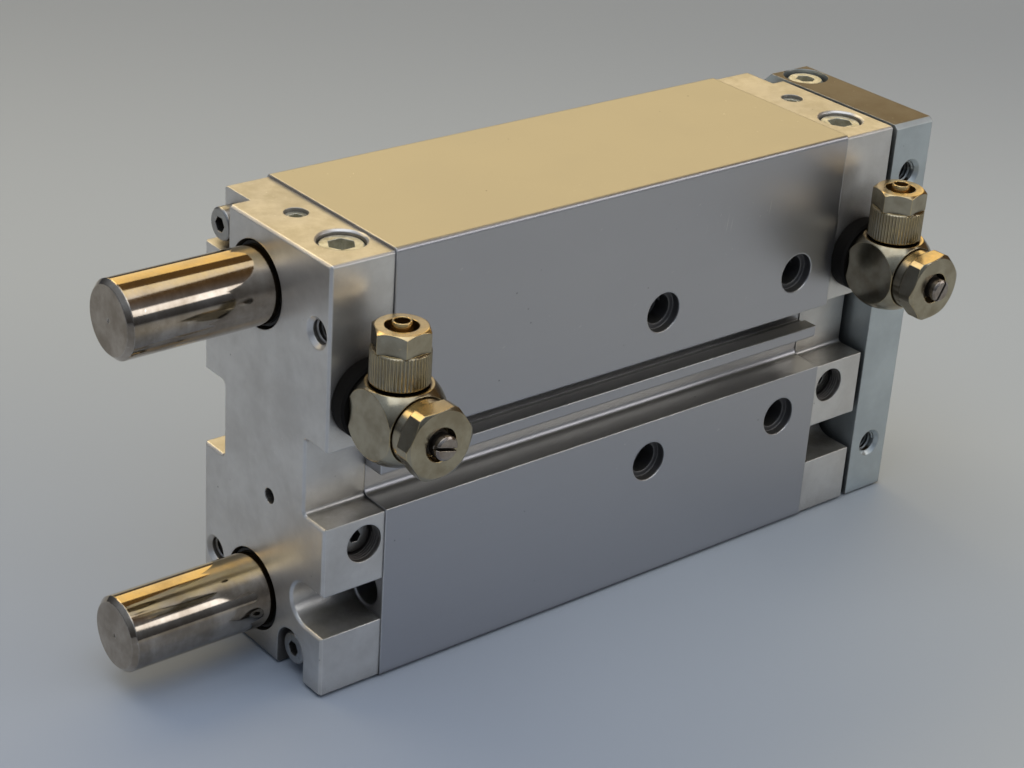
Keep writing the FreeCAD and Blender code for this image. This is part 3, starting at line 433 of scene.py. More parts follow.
@dataclass(frozen=True)
class Metal:
    """A metal surface: its colours, its gloss and the marks it carries."""

    name: str
    colour: Colour
    shade: Colour
    edge_colour: Colour
    roughness: float
    grain: Grain
    grain_depth: float = 4e-6
    edge_share: float = 0.6
    edge_radius: float = 0.4 * MM
    mottle: float = 30.0
    mottle_share: float = 0.5
    marks: float = 0.5
    # The colour below is dirt in nicks and gaps, and painted shade in gaps, grooves and holes; the
    # reaches and shares after it set where.
    dirt_and_shade: Colour = (0.030, 0.024, 0.018)
    gap_reach: float = 1.2 * MM
    gap_share: float = 0.8
    hole_shade_share: float = 0.8
    hole_shade_reach: float = 5.0 * MM
    groove_shade_share: float = 0.0
    gloss_swing: float = 1.25
    metallic: float = 1.0
    top_reflection: TopReflection | None = None
    core: Core | None = None
    bore_shade: BoreShade | None = None

    def build(self, effects: Effects) -> bpy.types.Material:
        """Make the material.

        Args:
            effects: the shared node groups.

        Returns:
            The new material.
        """
        material, graph, shader, place = new_surface(self.name)
        grain = graph.group(effects.grain, {"Vector": place, "Frequency": self.grain.value}).outputs
        marks = graph.group(effects.marks, {"Vector": place, "Density": self.marks}).outputs
        edge = graph.group(effects.edge, {"Radius": self.edge_radius, "Vector": place}).outputs
        crevice_shade = graph.group(
            effects.crevice_shade, {"Gap": self.gap_reach, "Hole": self.hole_shade_reach, "Vector": place}
        ).outputs
        worn = graph.math("MULTIPLY", edge["Mask"], self.edge_share)
        scratch = graph.math("MULTIPLY", marks["Scratch"], SCRATCH_SHINE)
        dark = self._dark(graph, effects, place, marks["Nick"], crevice_shade)

        colour = self._clean_colour(graph, effects, place, grain["Tone"])
        # Painted shade in shallow grooves.
        if self.groove_shade_share:
            groove_shade = graph.math("MULTIPLY", crevice_shade["Groove"], self.groove_shade_share)
            colour = graph.mix(groove_shade, colour, self.dirt_and_shade)
        colour = graph.mix(worn, colour, self.edge_colour)
        colour = graph.mix(scratch, colour, self.edge_colour)
        # Dirt in nicks and gaps, and painted shade in gaps and holes, darken the colour.
        colour = graph.mix(dark, colour, self.dirt_and_shade)

        rough = graph.span(
            marks["Smudge"], 0.0, 1.0, self.roughness, self.roughness * self.gloss_swing
        )
        rough = graph.math("ADD", rough, graph.math("MULTIPLY", dark, DIRT_ROUGHNESS))
        rough = graph.math("SUBTRACT", rough, graph.math("MULTIPLY", worn, WORN_GLOSS), clamp=True)

        cut = graph.math("MULTIPLY", marks["Scratch"], SCRATCH_CUT)
        height = graph.math("SUBTRACT", grain["Height"], cut)
        dent = graph.math("MULTIPLY", marks["Nick"], NICK_CUT)
        height = graph.math("SUBTRACT", height, dent)
        bump = graph.add(
            "ShaderNodeBump",
            {"Height": height, "Distance": self.grain_depth, "Strength": 1.0,
             "Normal": edge["Normal"]},
        )
        graph.join(shader, {"Base Color": colour, "Roughness": rough, "Normal": bump.outputs[0]})
        shader.inputs["Metallic"].default_value = self.metallic
        return material

    def _clean_colour(
        self, graph: Graph, effects: Effects, place: bpy.types.NodeSocket,
        tint: bpy.types.NodeSocket,
    ) -> bpy.types.NodeSocket:
        """Colour of the mottled metal with its painted top reflection and its bare core.

        Args:
            graph: the material's graph.
            effects: the shared node groups.
            place: where a point lies on the part.
            tint: tone of the coarse grain.

        Returns:
            The colour's socket.
        """
        blotch = graph.span(graph.noise(place, self.mottle, detail=5.0, roughness=0.62), 0.3, 0.7)
        tone = graph.math("MULTIPLY", blotch, self.mottle_share)
        tone = graph.math("ADD", tone, graph.math("MULTIPLY", tint, GRAIN_TONE), clamp=True)
        colour = graph.mix(tone, self.colour, self.shade)
        # Painted reflection: faces that look up take a tint in place of the light that they reflect.
        if self.top_reflection:
            top_reflection = graph.group(
                effects.top_reflection, {"Vector": place, "Patchiness": self.top_reflection.patchiness}
            )
            share = graph.math("MULTIPLY", top_reflection.outputs["Mask"], self.top_reflection.share)
            colour = graph.mix(share, colour, self.top_reflection.colour)
        if self.core:
            core = graph.group(
                effects.core,
                {"Vector": place, "Axis": self.core.axis, "Radius": self.core.radius},
            )
            colour = graph.mix(core.outputs["Mask"], colour, self.core.colour)
        return colour

    def _dark(
        self, graph: Graph, effects: Effects, place: bpy.types.NodeSocket,
        nick: bpy.types.NodeSocket, crevice_shade: bpy.types.NodeOutputs,
    ) -> bpy.types.NodeSocket:
        """Mask of dirt in nicks, of dirt and painted shade in gaps, and of painted shade in holes and
        on bored hole walls.

        Args:
            graph: the material's graph.
            effects: the shared node groups.
            place: where a point lies on the part.
            nick: mask of the nicks.
            crevice_shade: masks of the gaps and the holes.

        Returns:
            The mask's socket.
        """
        dirt_and_shade = graph.math("MULTIPLY", crevice_shade["Gap"], self.gap_share)
        dirt_and_shade = graph.math("MAXIMUM", dirt_and_shade, graph.math("MULTIPLY", nick, NICK_DIRT))
        # Painted shade deep in holes.
        dark = graph.math("MULTIPLY", crevice_shade["Hole"], self.hole_shade_share)
        dark = graph.math("MAXIMUM", dirt_and_shade, dark)
        # Painted shade on the walls of the bored holes.
        if self.bore_shade:
            bore_shade = graph.group(
                effects.bore_shade,
                {"Vector": place, "Middle": self.bore_shade.middle, "Step": self.bore_shade.step,
                 "Radius": self.bore_shade.radius},
            )
            wall_shade = graph.math("MULTIPLY", bore_shade.outputs["Mask"], self.bore_shade.share)
            dark = graph.math("MAXIMUM", dark, wall_shade)
        return dark


@dataclass(frozen=True)
class Soft:
    """Rubber or plastic: dull, with a fine moulded grain."""

    name: str
    colour: Colour
    shade: Colour
    roughness: float
    specular: float = 0.4
    marks: float = 0.3
    grain: Grain = Grain.BLASTED
    grain_depth: float = 8e-6
    gloss_swing: float = 1.2

    def build(self, effects: Effects) -> bpy.types.Material:
        """Make the material.

        Args:
            effects: the shared node groups.

        Returns:
            The new material.
        """
        material, graph, shader, place = new_surface(self.name)
        grain = graph.group(effects.grain, {"Vector": place, "Frequency": self.grain.value})
        marks = graph.group(effects.marks, {"Vector": place, "Density": self.marks})
        smudge = marks.outputs["Smudge"]
        colour = graph.mix(smudge, self.colour, self.shade)
        rough = graph.span(smudge, 0.0, 1.0, self.roughness, self.roughness * self.gloss_swing)
        bump = graph.add(
            "ShaderNodeBump",
            {"Height": grain.outputs["Height"], "Distance": self.grain_depth, "Strength": 1.0},
        )
        graph.join(shader, {"Base Color": colour, "Roughness": rough, "Normal": bump.outputs[0]})
        shader.inputs["Specular IOR Level"].default_value = self.specular
        return material


PLATE_SKIN = Metal(
    "zinc plated plate",
    colour=(0.62, 0.67, 0.67), shade=(0.46, 0.50, 0.505), edge_colour=(0.72, 0.69, 0.62),
    roughness=0.28, metallic=0.6, grain=Grain.ROLLED, grain_depth=3e-6,
    mottle=80.0, mottle_share=0.6, marks=0.7, gap_reach=1.0 * MM,
    # Painted reflection: a dark brown tint on faces that look up.
    top_reflection=TopReflection((0.050, 0.026, 0.008), share=1.0, patchiness=0.04),
)
# Ground steel whose colour is warmed to gold-brown and darkened in patches as painted reflections of
# the warm lamps and the dim room; the top tint paints the gold reflection on its upper side.
ROD_SKIN = Metal(
    "ground guide rod, painted reflections",
    colour=(0.55, 0.485, 0.41), shade=(0.26, 0.21, 0.155), edge_colour=(0.82, 0.78, 0.70),
    roughness=0.075, grain=Grain.GROUND_ROUND, grain_depth=1.2e-6, edge_share=0.5,
    mottle=150.0, mottle_share=0.7, marks=1.0, gap_reach=0.8 * MM, gap_share=0.5, hole_shade_share=0.2,
    top_reflection=TopReflection((0.68, 0.50, 0.23), share=0.85, patchiness=0.5),
)
PISTON_ROD_SKIN = Metal(
    "polished piston rod",
    colour=(0.62, 0.62, 0.63), shade=(0.52, 0.52, 0.52), edge_colour=(0.80, 0.78, 0.74),
    roughness=0.09, grain=Grain.GROUND_ROUND, grain_depth=1e-6, edge_share=0.4,
    mottle=24.0, mottle_share=0.3, hole_shade_share=0.2,
)
SCREW_SKIN = Metal(
    "plated screw steel",
    colour=(0.50, 0.49, 0.47), shade=(0.30, 0.285, 0.26), edge_colour=(0.86, 0.83, 0.76),
    roughness=0.25, grain=Grain.BLASTED, grain_depth=3e-6, edge_share=0.75, edge_radius=0.3 * MM,
    # Dirt and painted shade in the hex socket and round the head.
    mottle=300.0, marks=0.6, gap_reach=1.6 * MM, gap_share=0.95,
)
PLUG_SKIN = Metal(
    "bright port plug",
    colour=(0.80, 0.79, 0.68), shade=(0.42, 0.40, 0.30), edge_colour=(0.92, 0.90, 0.78),
    roughness=0.2, metallic=0.55, grain=Grain.PITTED, grain_depth=9e-5, edge_share=0.7,
    edge_radius=0.3 * MM, mottle=420.0, mottle_share=0.9, gap_reach=0.8 * MM, gap_share=0.3,
    hole_shade_share=0.0,
)
NEEDLE_SKIN = Metal(
    "throttle needle steel",
    colour=(0.42, 0.375, 0.335), shade=(0.26, 0.215, 0.18), edge_colour=(0.70, 0.60, 0.48),
    roughness=0.24, grain=Grain.BLASTED, grain_depth=3e-6, edge_share=0.7, edge_radius=0.25 * MM,
    mottle=500.0, mottle_share=0.8, gap_reach=0.9 * MM, gap_share=0.9,
)
BUSH_SKIN = Metal(
    "sintered bearing bronze",
    colour=(0.42, 0.31, 0.19), shade=(0.30, 0.21, 0.13), edge_colour=(0.60, 0.46, 0.28),
    roughness=0.45, grain=Grain.BLASTED, grain_depth=8e-6, mottle=400.0, marks=0.2,
)
TURNED_SKIN = Metal(
    "turned aluminium",
    colour=(0.60, 0.60, 0.61), shade=(0.50, 0.50, 0.50), edge_colour=(0.8, 0.8, 0.78),
    roughness=0.3, grain=Grain.GROUND_ROUND, mottle=80.0, marks=0.3,
)
SEAL_SKIN = Soft("black seal rubber", (0.012, 0.011, 0.010), (0.020, 0.018, 0.016), 0.5)
WASHER_SKIN = Soft(
    "black sealing washer", (0.005, 0.004, 0.003), (0.009, 0.007, 0.005), 0.6, specular=0.15
)
RING_SKIN = Soft("wear ring plastic", (0.08, 0.07, 0.06), (0.11, 0.1, 0.09), 0.5)
MAGNET_SKIN = Soft("plastic bound magnet", (0.045, 0.045, 0.05), (0.06, 0.06, 0.065), 0.45)
BRASS: Colour = (0.80, 0.58, 0.27)


def valve_skin(end: str) -> Metal:
    """Nickel plating of one valve, worn to brass in the nut's mouth, with painted shade in its
    grooves and painted gold reflections on faces that look up.

    Args:
        end: which end of the cylinder the valve is at.

    Returns:
        The finish.
    """
    middle = middle_of(f"{end}_union_nut")
    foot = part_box(f"{end}_union_nut")[0].z
    return Metal(
        f"nickel plated brass {end}",
        colour=(0.47, 0.425, 0.315), shade=(0.27, 0.225, 0.15), edge_colour=(0.92, 0.70, 0.34),
        roughness=0.18, grain=Grain.BLASTED, grain_depth=2.5e-6, edge_share=0.85,
        edge_radius=0.3 * MM, mottle=210.0, mottle_share=0.65, marks=0.7,
        dirt_and_shade=(0.030, 0.019, 0.010), gap_reach=0.7 * MM, gap_share=0.85, hole_shade_share=0.3,
        # Painted shade in the knurl's grooves and round the nut's foot, and painted gold reflections
        # on faces that look up.
        groove_shade_share=0.95, top_reflection=TopReflection((0.95, 0.68, 0.30), share=0.75, patchiness=0.5),
        core=Core((middle.x, middle.y, foot), BRASS),
    )


class Spot(NamedTuple):
    """Where a thread's mouth is, which way it looks, and what carries it."""

    mouth: Vector
    facing: Facing
    body: str
    slot: str


def mirrored(spots: list[Spot], face: float, radius: float) -> BoreShade:
    """Pattern of bored holes from the places of its members.

    Args:
        spots: the mouths of the holes.
        face: how far the carrying face lies from the middle plane.
        radius: the widest radius of each hole.

    Returns:
        The pattern, mirrored about its middle in X, Y and Z.
    """
    low = Vector([min(spot.mouth[axis] for spot in spots) for axis in range(3)])
    high = Vector([max(spot.mouth[axis] for spot in spots) for axis in range(3)])
    middle, step = (low + high) / 2, (high - low) / 2
    return BoreShade((middle.x, 0.0, middle.z), (step.x, face, step.z), radius)


def housing_skin(spots: list[Spot], mouth_radius: float = 4.6 * MM) -> Metal:
    """Satin anodising, with painted shade on the walls of the mounting holes and a painted tan
    reflection on the top faces.
    """
    return Metal(
        "satin anodised extrusion",
        colour=(0.500, 0.495, 0.510), shade=(0.470, 0.465, 0.480), edge_colour=(0.80, 0.78, 0.74),
        roughness=0.36, gloss_swing=1.06, grain=Grain.EXTRUDED, grain_depth=2.5e-6,
        edge_share=0.8, edge_radius=0.5 * MM, mottle=18.0, mottle_share=0.15, marks=0.8,
        dirt_and_shade=(0.055, 0.050, 0.046), gap_reach=0.9 * MM,
        # Painted reflection: a tan tint on the top faces, in place of the warm light that they
        # reflect.
        top_reflection=TopReflection((0.49, 0.47, 0.41), share=0.9, patchiness=0.0),
        bore_shade=mirrored(spots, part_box("housing")[1].y, mouth_radius),
    )


def cap_skin(spots: list[Spot], mouth_radius: float = 4.4 * MM) -> Metal:
    """Blasted aluminium, with painted shade on the walls of the cushion screws' holes, wide painted
    brown shade in recesses and round the valves, and a painted tan reflection on the top faces.
    """
    return Metal(
        "blasted cap aluminium",
        colour=(0.81, 0.785, 0.745), shade=(0.62, 0.59, 0.55), edge_colour=(0.90, 0.88, 0.82),
        roughness=0.34, metallic=0.85, grain=Grain.BLASTED, grain_depth=7e-6,
        edge_share=0.85, edge_radius=0.45 * MM, mottle=85.0, mottle_share=0.65, marks=0.9,
        # Painted shade: the long occlusion reach darkens recesses and the face round the valves.
        dirt_and_shade=(0.050, 0.035, 0.024), hole_shade_reach=11.0 * MM, hole_shade_share=0.85,
        # Painted reflection: a tan tint on the top faces.
        top_reflection=TopReflection((0.45, 0.42, 0.345), share=0.8, patchiness=0.6),
        bore_shade=mirrored(spots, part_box("rear_cap")[1].y, mouth_radius),
    )


def finishes_of_nodes(threads: "Threads") -> dict[str, Metal | Soft]:
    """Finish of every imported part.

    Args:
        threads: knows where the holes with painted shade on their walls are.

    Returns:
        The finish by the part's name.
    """
    cap = cap_skin(threads.cushion_holes())
    chosen: dict[str, Metal | Soft] = {
        "housing": housing_skin(threads.body_holes()),
        "rear_cap": cap,
        "front_cap": cap,
        "cap_tie_screws": SCREW_SKIN,
        "piston_rod_bush": BUSH_SKIN,
        "piston_rod_seal": SEAL_SKIN,
        "yoke_plate": PLATE_SKIN,
        "upper_guide_rod": ROD_SKIN,
        "lower_guide_rod": ROD_SKIN,
        "guide_rod_screws": SCREW_SKIN,
        "piston_rod_screw": SCREW_SKIN,
        "yoke_top_screw": PLUG_SKIN,
        "piston_rod": PISTON_ROD_SKIN,
        "piston": TURNED_SKIN,
        "rear_piston_seal": SEAL_SKIN,
        "front_piston_seal": SEAL_SKIN,
        "piston_guide_ring": RING_SKIN,
        "piston_magnet": MAGNET_SKIN,
        "rear_cushion_nut": TURNED_SKIN,
        "front_cushion_sleeve": TURNED_SKIN,
    }
    for end in ENDS:
        for level in LEVELS:
            chosen[f"{level}_{end}_guide_bush"] = BUSH_SKIN
            chosen[f"{level}_{end}_rod_wiper"] = SEAL_SKIN
        nickel = valve_skin(end)
        chosen[f"{end}_cap_o_ring"] = SEAL_SKIN
        chosen[f"{end}_cushion_seal"] = SEAL_SKIN
        chosen[f"{end}_top_port_plug"] = PLUG_SKIN
        chosen[f"{end}_vent_screw"] = PLUG_SKIN
        chosen[f"{end}_cushion_screw"] = SCREW_SKIN
        chosen[f"{end}_valve_washer"] = WASHER_SKIN
        chosen[f"{end}_throttle_screw"] = NEEDLE_SKIN
        for part in ("hollow_bolt", "elbow", "union_nut"):
            chosen[f"{end}_{part}"] = nickel
    return chosen


def dress_packed_parts(effects: Effects, threads: "Threads") -> dict[str, bpy.types.Material]:
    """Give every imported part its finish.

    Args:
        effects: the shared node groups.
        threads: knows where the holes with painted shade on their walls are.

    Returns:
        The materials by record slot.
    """
    made: dict[str, bpy.types.Material] = {}
    by_slot: dict[str, bpy.types.Material] = {}
    slots = {part["node"]: part["material_slot"] for part in frame["record"]["subparts"]}
    for name, finish in finishes_of_nodes(threads).items():
        if finish.name not in made:
            made[finish.name] = finish.build(effects)
        node = frame["nodes"][name]
        node.data.materials.clear()
        node.data.materials.append(made[finish.name])
        by_slot.setdefault(slots[name], made[finish.name])
        LOG.info("finished %s in %s", name, finish.name)
    return by_slot


# ------------------------------------------------------------------ new pieces
def deselect() -> None:
    """Clear the selection and the active object."""
    bpy.ops.object.select_all(action="DESELECT")
    bpy.context.view_layer.objects.active = None


def activate(piece: bpy.types.Object) -> None:
    """Select one piece alone and make it active."""
    deselect()
    piece.select_set(True)
    bpy.context.view_layer.objects.active = piece


def settle(piece: bpy.types.Object, name: str, matrix: Matrix) -> bpy.types.Object:
    """Give a piece its name and bake its place into its mesh.

    Args:
        piece: a finished piece modelled about its own origin.
        name: the name that it gets.
        matrix: where it goes.

    Returns:
        The same piece, now with an identity transform.
    """
    piece.name = name
    piece.data.name = name
    piece.data.transform(matrix @ piece.matrix_world)
    piece.matrix_world = Matrix.Identity(4)
    return piece


def copy_of(piece: bpy.types.Object, name: str, matrix: Matrix) -> bpy.types.Object:
    """Copy a modelled piece, with its own mesh, to another place."""
    twin = piece.copy()
    twin.data = piece.data.copy()
    bpy.context.scene.collection.objects.link(twin)
    return settle(twin, name, matrix)


def dress(piece: bpy.types.Object, material: bpy.types.Material, body: str) -> None:
    """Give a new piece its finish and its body."""
    piece.data.materials.clear()
    piece.data.materials.append(material)
    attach(piece, body)
    LOG.info("made %s on %s", piece.name, body)


@dataclass
class Thread:
    """The ridges of a screw thread, drawn on the wall of a hole or of a shank."""

    label: str
    spots: list[Spot]
    radius: float
    pitch: float
    turns: int
    depth: float
    rise: float = -0.32 * MM
    sink: float = 0.05 * MM
    steps: int = 28
    foot_share: float = 0.42
    crest_share: float = 0.08

    def model(self) -> bpy.types.Object:
        """Model one thread about the origin, running down from its mouth.

        Returns:
            The thread as a closed helical ridge.
        """
        deselect()
        bpy.ops.mesh.primitive_circle_add(vertices=4, radius=self.pitch, fill_type="NOTHING")
        ridge = bpy.context.object
        foot = self.radius - math.copysign(self.sink, self.rise)
        crest = self.radius + self.rise
        corners = (
            (foot, self.foot_share),
            (crest, self.crest_share),
            (crest, -self.crest_share),
            (foot, -self.foot_share),
        )
        for vertex, (reach, share) in zip(ridge.data.vertices, corners):
            vertex.co = (reach, 0.0, share * self.pitch)
        screw = ridge.modifiers.new("turns", "SCREW")
        screw.axis = "Z"
        screw.angle = 2 * math.pi
        screw.screw_offset = -self.pitch
        screw.iterations = self.turns
        screw.steps = self.steps
        screw.render_steps = self.steps
        screw.use_smooth_shade = False
        activate(ridge)
        bpy.ops.object.modifier_apply(modifier="turns")
        bpy.ops.object.mode_set(mode="EDIT")
        bpy.ops.mesh.select_all(action="DESELECT")
        bpy.ops.mesh.select_mode(type="EDGE")
        bpy.ops.mesh.select_non_manifold()
        bpy.ops.mesh.fill_holes(sides=4)
        bpy.ops.mesh.select_all(action="SELECT")
        bpy.ops.mesh.normals_make_consistent(inside=False)
        bpy.ops.object.mode_set(mode="OBJECT")
        ridge.data.transform(Matrix.Translation((0.0, 0.0, -self.depth)))
        return ridge

    def build(self, materials: dict[str, bpy.types.Material]) -> None:
        """Copy the thread into each of its places.

        Args:
            materials: the finish of each carrying part, by its record slot.
        """
        pattern = self.model()
        for number, spot in enumerate(self.spots, 1):
            place = Matrix.Translation(spot.mouth) @ spot.facing.turn()
            thread = copy_of(pattern, f"{self.label}_{number}", place)
            dress(thread, materials[spot.slot], spot.body)
        bpy.data.objects.remove(pattern)


@dataclass
class Threads:
    """Every thread that shows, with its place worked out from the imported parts."""

    end_step_y: float = 17.7 * MM
    end_step_z: float = 32.65 * MM
    needle_neck: float = 2.6 * MM
    mounts: dict[str, dict] = field(init=False)
    middle_z: float = field(init=False)

    def __post_init__(self) -> None:
        """Read the mounts from the record."""
        self.mounts = {mount["name"]: mount for mount in frame["record"]["mounts"]}
        self.middle_z = self.mounts["yoke_plate_threads"]["pos_m"][2]

    def size(self, mount: str, name: str) -> float:
        """One dimension of a mount, in metres."""
        return self.mounts[mount]["dims"][name] * MM

    def end_holes(self) -> list[Spot]:
        """The two tapped holes in the rear cap's end face."""
        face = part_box("rear_cap")[0].x
        return [
            Spot(
                Vector((face, -side * self.end_step_y, self.middle_z + side * self.end_step_z)),
                Facing.REAR, "cylinder", "cap_aluminium",
            )
            for side in (1, -1)
        ]

    def plate_holes(self) -> list[Spot]:
        """The tapped holes in the yoke plate's front face and near edge."""
        low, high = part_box("yoke_plate")
        edge_x = self.mounts["yoke_plate_side_threads"]["pos_m"][0]
        edge_step = self.size("yoke_plate_side_threads", "spacing_y_mm") / 2
        face_step_y = self.size("yoke_plate_threads", "spacing_x_mm") / 2
        face_step_z = self.size("yoke_plate_threads", "spacing_y_mm") / 2
        found = []
        for step in (-1, 1):
            edge = Vector((edge_x, low.y, self.middle_z + step * edge_step))
            found.append(Spot(edge, Facing.NEAR, "carriage", "plated_steel"))
            for rise in (-1, 1):
                face = Vector((high.x, step * face_step_y, self.middle_z + rise * face_step_z))
                found.append(Spot(face, Facing.FRONT, "carriage", "plated_steel"))
        return found

    def body_holes(self) -> list[Spot]:
        """The mounting holes in both sides of the housing."""
        low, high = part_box("housing")
        middle_x = self.mounts["near_side_holes"]["pos_m"][0]
        step_x = self.size("near_side_holes", "spacing_x_mm") / 2
        step_z = self.size("near_side_holes", "spacing_y_mm") / 2
        return [
            Spot(
                Vector((middle_x + step * step_x, y, self.middle_z + rise * step_z)),
                facing, "cylinder", "anodised_aluminium",
            )
            for step in (-1, 1)
            for rise in (-1, 1)
            for y, facing in ((low.y, Facing.NEAR), (high.y, Facing.FAR))
        ]

    def cushion_holes(self) -> list[Spot]:
        """The mouths of the cushion screws' holes."""
        found = []
        for end in ENDS:
            middle = middle_of(f"{end}_cushion_screw")
            mouth = Vector((middle.x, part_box(f"{end}_cap")[0].y, middle.z))
            found.append(Spot(mouth, Facing.NEAR, "cylinder", "cap_aluminium"))
        return found

    def needles(self) -> list[Spot]:
        """The throttle needles' shanks, just behind their slotted heads."""
        found = []
        for end in ENDS:
            middle = middle_of(f"{end}_throttle_screw")
            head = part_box(f"{end}_throttle_screw")[0].y
            neck = Vector((middle.x, head + self.needle_neck, middle.z))
            found.append(Spot(neck, Facing.NEAR, f"{end}_throttle_screw", "nickel_brass"))
        return found

    def build(self, materials: dict[str, bpy.types.Material]) -> None:
        """Model every thread once and copy it to its places.

        Args:
            materials: the finish of each carrying part, by its record slot.
        """
        for thread in (
            Thread(
                "m6_thread", self.end_holes() + self.plate_holes(),
                radius=self.size("yoke_plate_threads", "hole_r_mm"),
                pitch=1.0 * MM, turns=8, depth=1.5 * MM,
            ),
            Thread(
                "m8_thread", self.body_holes(), radius=self.size("near_side_holes", "hole_r_mm"),
                pitch=1.25 * MM, turns=6, depth=5.5 * MM,
            ),
            Thread(
                "cushion_thread", self.cushion_holes(), radius=4.15 * MM,
                pitch=0.6 * MM, turns=4, depth=0.8 * MM, rise=-0.2 * MM,
            ),
            Thread(
                "needle_thread", self.needles(), radius=2.5 * MM,
                pitch=0.5 * MM, turns=3, depth=0.7 * MM, rise=0.25 * MM,
            ),
        ):
            thread.build(materials)


@dataclass
class BarbTip:
    """Brass lip of a hose barb, standing just out of its union nut."""

    rib_radius: float = 2.38 * MM
    lip_radius: float = 1.90 * MM
    bore_radius: float = 1.52 * MM
    below: float = 2.05 * MM
    above: float = 1.45 * MM
    corner: float = 0.1 * MM
    sides: int = 56
    crease: float = math.radians(35.0)

    def model(self) -> bpy.types.Object:
        """Model the lip about the origin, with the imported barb's end at zero.

        Returns:
            The lip as a closed ring.
        """
        deselect()
        bpy.ops.mesh.primitive_circle_add(
            vertices=self.sides, radius=self.rib_radius, fill_type="NOTHING",
            location=(0.0, 0.0, -self.below),
        )
        lip = bpy.context.object
        bpy.ops.object.mode_set(mode="EDIT")
        bpy.ops.mesh.select_mode(type="EDGE")
        bpy.ops.mesh.select_all(action="SELECT")
        radius, height = self.rib_radius, -self.below
        for next_radius, next_height in (
            (self.lip_radius, self.above - self.corner),
            (self.lip_radius - self.corner, self.above),
            (self.bore_radius + self.corner, self.above),
            (self.bore_radius, self.above - self.corner),
            (self.bore_radius, -self.below),
        ):
            rise = (0.0, 0.0, next_height - height)
            bpy.ops.mesh.extrude_region_move(TRANSFORM_OT_translate={"value": rise})
            ratio = next_radius / radius
            bpy.ops.transform.resize(
                value=(ratio, ratio, 1.0), center_override=(0.0, 0.0, next_height)
            )
            radius, height = next_radius, next_height
        bpy.ops.mesh.select_all(action="DESELECT")
        bpy.ops.mesh.select_non_manifold()
        bpy.ops.mesh.bridge_edge_loops()
        bpy.ops.mesh.select_all(action="SELECT")
        bpy.ops.mesh.normals_make_consistent(inside=False)
        bpy.ops.object.mode_set(mode="OBJECT")
        activate(lip)
        bpy.ops.object.shade_smooth_by_angle(angle=self.crease)
        return lip

    def build(self) -> None:
        """Stand one lip on each valve's barb, on the elbow's body."""
        pattern = self.model()
        for end in ENDS:
            middle = middle_of(f"{end}_union_nut")
            top = Vector((middle.x, middle.y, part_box(f"{end}_elbow")[1].z))
            lip = copy_of(pattern, f"{end}_barb_tip", Matrix.Translation(top))
            nickel = frame["nodes"][f"{end}_elbow"].data.materials[0]
            dress(lip, nickel, f"{end}_elbow")
        bpy.data.objects.remove(pattern)


# ---------------------------------------------------------------- floor, light
@dataclass(frozen=True)
class Lamp:
    """A soft lamp; glow 1 makes its face look as bright as a white floor in plain light."""

    name: str
    place: Triple
    size: tuple[float, float]
    glow: float
    colour: Colour

    def hang(self, aim: Vector) -> None:
        """Add the lamp, turned to what it lights."""
        width, height = self.size
        data = bpy.data.lights.new(self.name, "AREA")
        data.shape = "RECTANGLE"
        data.size, data.size_y = width, height
        data.energy = self.glow * math.pi * width * height
        data.color = self.colour
        lamp = bpy.data.objects.new(self.name, data)
        bpy.context.scene.collection.objects.link(lamp)
        lamp.location = self.place
        lamp.rotation_euler = (aim - Vector(self.place)).to_track_quat("-Z", "Y").to_euler()


LAMPS = (
    Lamp("window", (0.75, 0.95, 0.75), (1.5, 0.9), 1.15, (1.0, 0.81, 0.46)),
    Lamp("skylight", (-0.20, 1.05, 1.12), (1.1, 0.6), 2.2, (1.0, 0.76, 0.38)),
    Lamp("ceiling", (-0.1, -0.2, 1.5), (1.6, 1.6), 1.10, (0.96, 0.98, 1.0)),
    Lamp("strip", (0.78, -0.80, 0.68), (0.9, 0.34), 2.2, (0.97, 0.98, 1.0)),
)


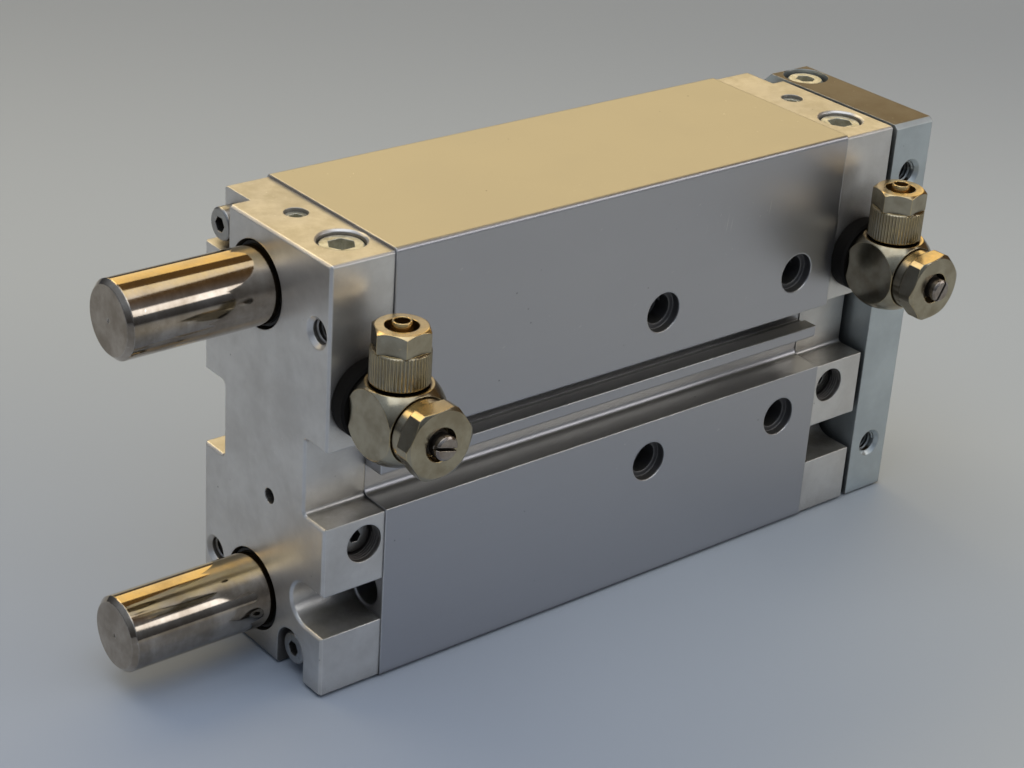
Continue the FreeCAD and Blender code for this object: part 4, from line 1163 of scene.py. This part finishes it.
@dataclass
class Studio:
    """Pale floor with painted light and shade, soft lamps and the camera."""

    # Floor colours by place: painted shade on the near left and far off, painted light to the right
    # and in the middle.
    floor_shade_left: Colour = (0.395, 0.450, 0.545)
    floor_light_right: Colour = (0.520, 0.550, 0.565)
    floor_light_middle: Colour = (0.465, 0.505, 0.540)
    floor_shade_far: Colour = (0.300, 0.335, 0.385)
    rightward: Triple = (0.776, -0.63, 0.0)
    inward: Triple = (0.63, 0.78, 0.0)
    horizon: Colour = (0.075, 0.080, 0.092)
    zenith: Colour = (0.42, 0.49, 0.60)
    warm_wall: Colour = (0.13, 0.085, 0.045)
    warm_side: Triple = (0.80, 0.16, 0.58)

    def floor(self) -> None:
        """Lay a wide pale floor just under the housing, with painted light and shade: bluish on the
        near left, lighter to the right and in the middle, darker far off.
        """
        deselect()
        bpy.ops.mesh.primitive_plane_add(size=8.0, location=(0.0, 0.0, -0.2 * MM))
        plane = bpy.context.object
        plane.name = "floor"
        material, graph, shader, place = new_surface("pale floor with painted light")
        aside = graph.vector("DOT_PRODUCT", place, self.rightward)
        depth = graph.vector("DOT_PRODUCT", place, self.inward)
        # Painted light and shade: the floor's colour changes across and away from the camera.
        colour = graph.mix(graph.span(aside, -0.08, 0.13), self.floor_shade_left, self.floor_light_right)
        colour = graph.mix(graph.span(depth, -0.12, 0.14), colour, self.floor_light_middle)
        colour = graph.mix(graph.span(depth, 0.12, 0.46), colour, self.floor_shade_far)
        graph.join(shader, {"Base Color": colour})
        shader.inputs["Roughness"].default_value = 0.6
        shader.inputs["Specular IOR Level"].default_value = 0.2
        plane.data.materials.append(material)

    def world(self) -> None:
        """Fill the room: dim at the horizon, pale overhead, warm on the far side."""
        world = bpy.data.worlds.new("room")
        bpy.context.scene.world = world
        world.use_nodes = True
        graph = Graph(world.node_tree)
        background = world.node_tree.nodes["Background"]
        direction = graph.add("ShaderNodeTexCoord").outputs["Generated"]
        height = graph.add("ShaderNodeSeparateXYZ", {0: direction}).outputs["Z"]
        colour = graph.mix(graph.span(height, 0.0, 0.95), self.horizon, self.zenith)
        towards = graph.vector("DOT_PRODUCT", direction, self.warm_side)
        colour = graph.mix(graph.span(towards, 0.38, 0.80), colour, self.warm_wall)
        graph.join(background, {"Color": colour})
        background.inputs["Strength"].default_value = 1.0

    def camera(self) -> None:
        """Stand the camera at the rear, on the near side, above the object."""
        data = bpy.data.cameras.new("camera")
        data.lens = 78.835
        data.sensor_width = 36.0
        data.shift_x = -0.0194
        data.shift_y = -0.0263
        data.clip_start = 0.01
        camera = bpy.data.objects.new("camera", data)
        bpy.context.scene.collection.objects.link(camera)
        camera.location = (-0.29448, -0.33171, 0.26333)
        camera.rotation_euler = [math.radians(angle) for angle in (64.0502, -3.7338, -39.1162)]
        bpy.context.scene.camera = camera

    def build(self) -> None:
        """Set up the whole studio, with the lamps turned to the middle of the object."""
        self.floor()
        self.world()
        for lamp in LAMPS:
            lamp.hang(aim=Vector((0.0, 0.0, 0.05)))
        self.camera()
        bpy.context.scene.view_settings.view_transform = "Standard"


def main() -> None:
    """Build the studio, the finishes and the new pieces, in that order."""
    logging.basicConfig(level=logging.INFO, format="%(message)s")
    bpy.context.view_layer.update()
    Studio().build()
    threads = Threads()
    materials = dress_packed_parts(Effects(), threads)
    threads.build(materials)
    BarbTip().build()


if __name__ == "__main__":
    main()
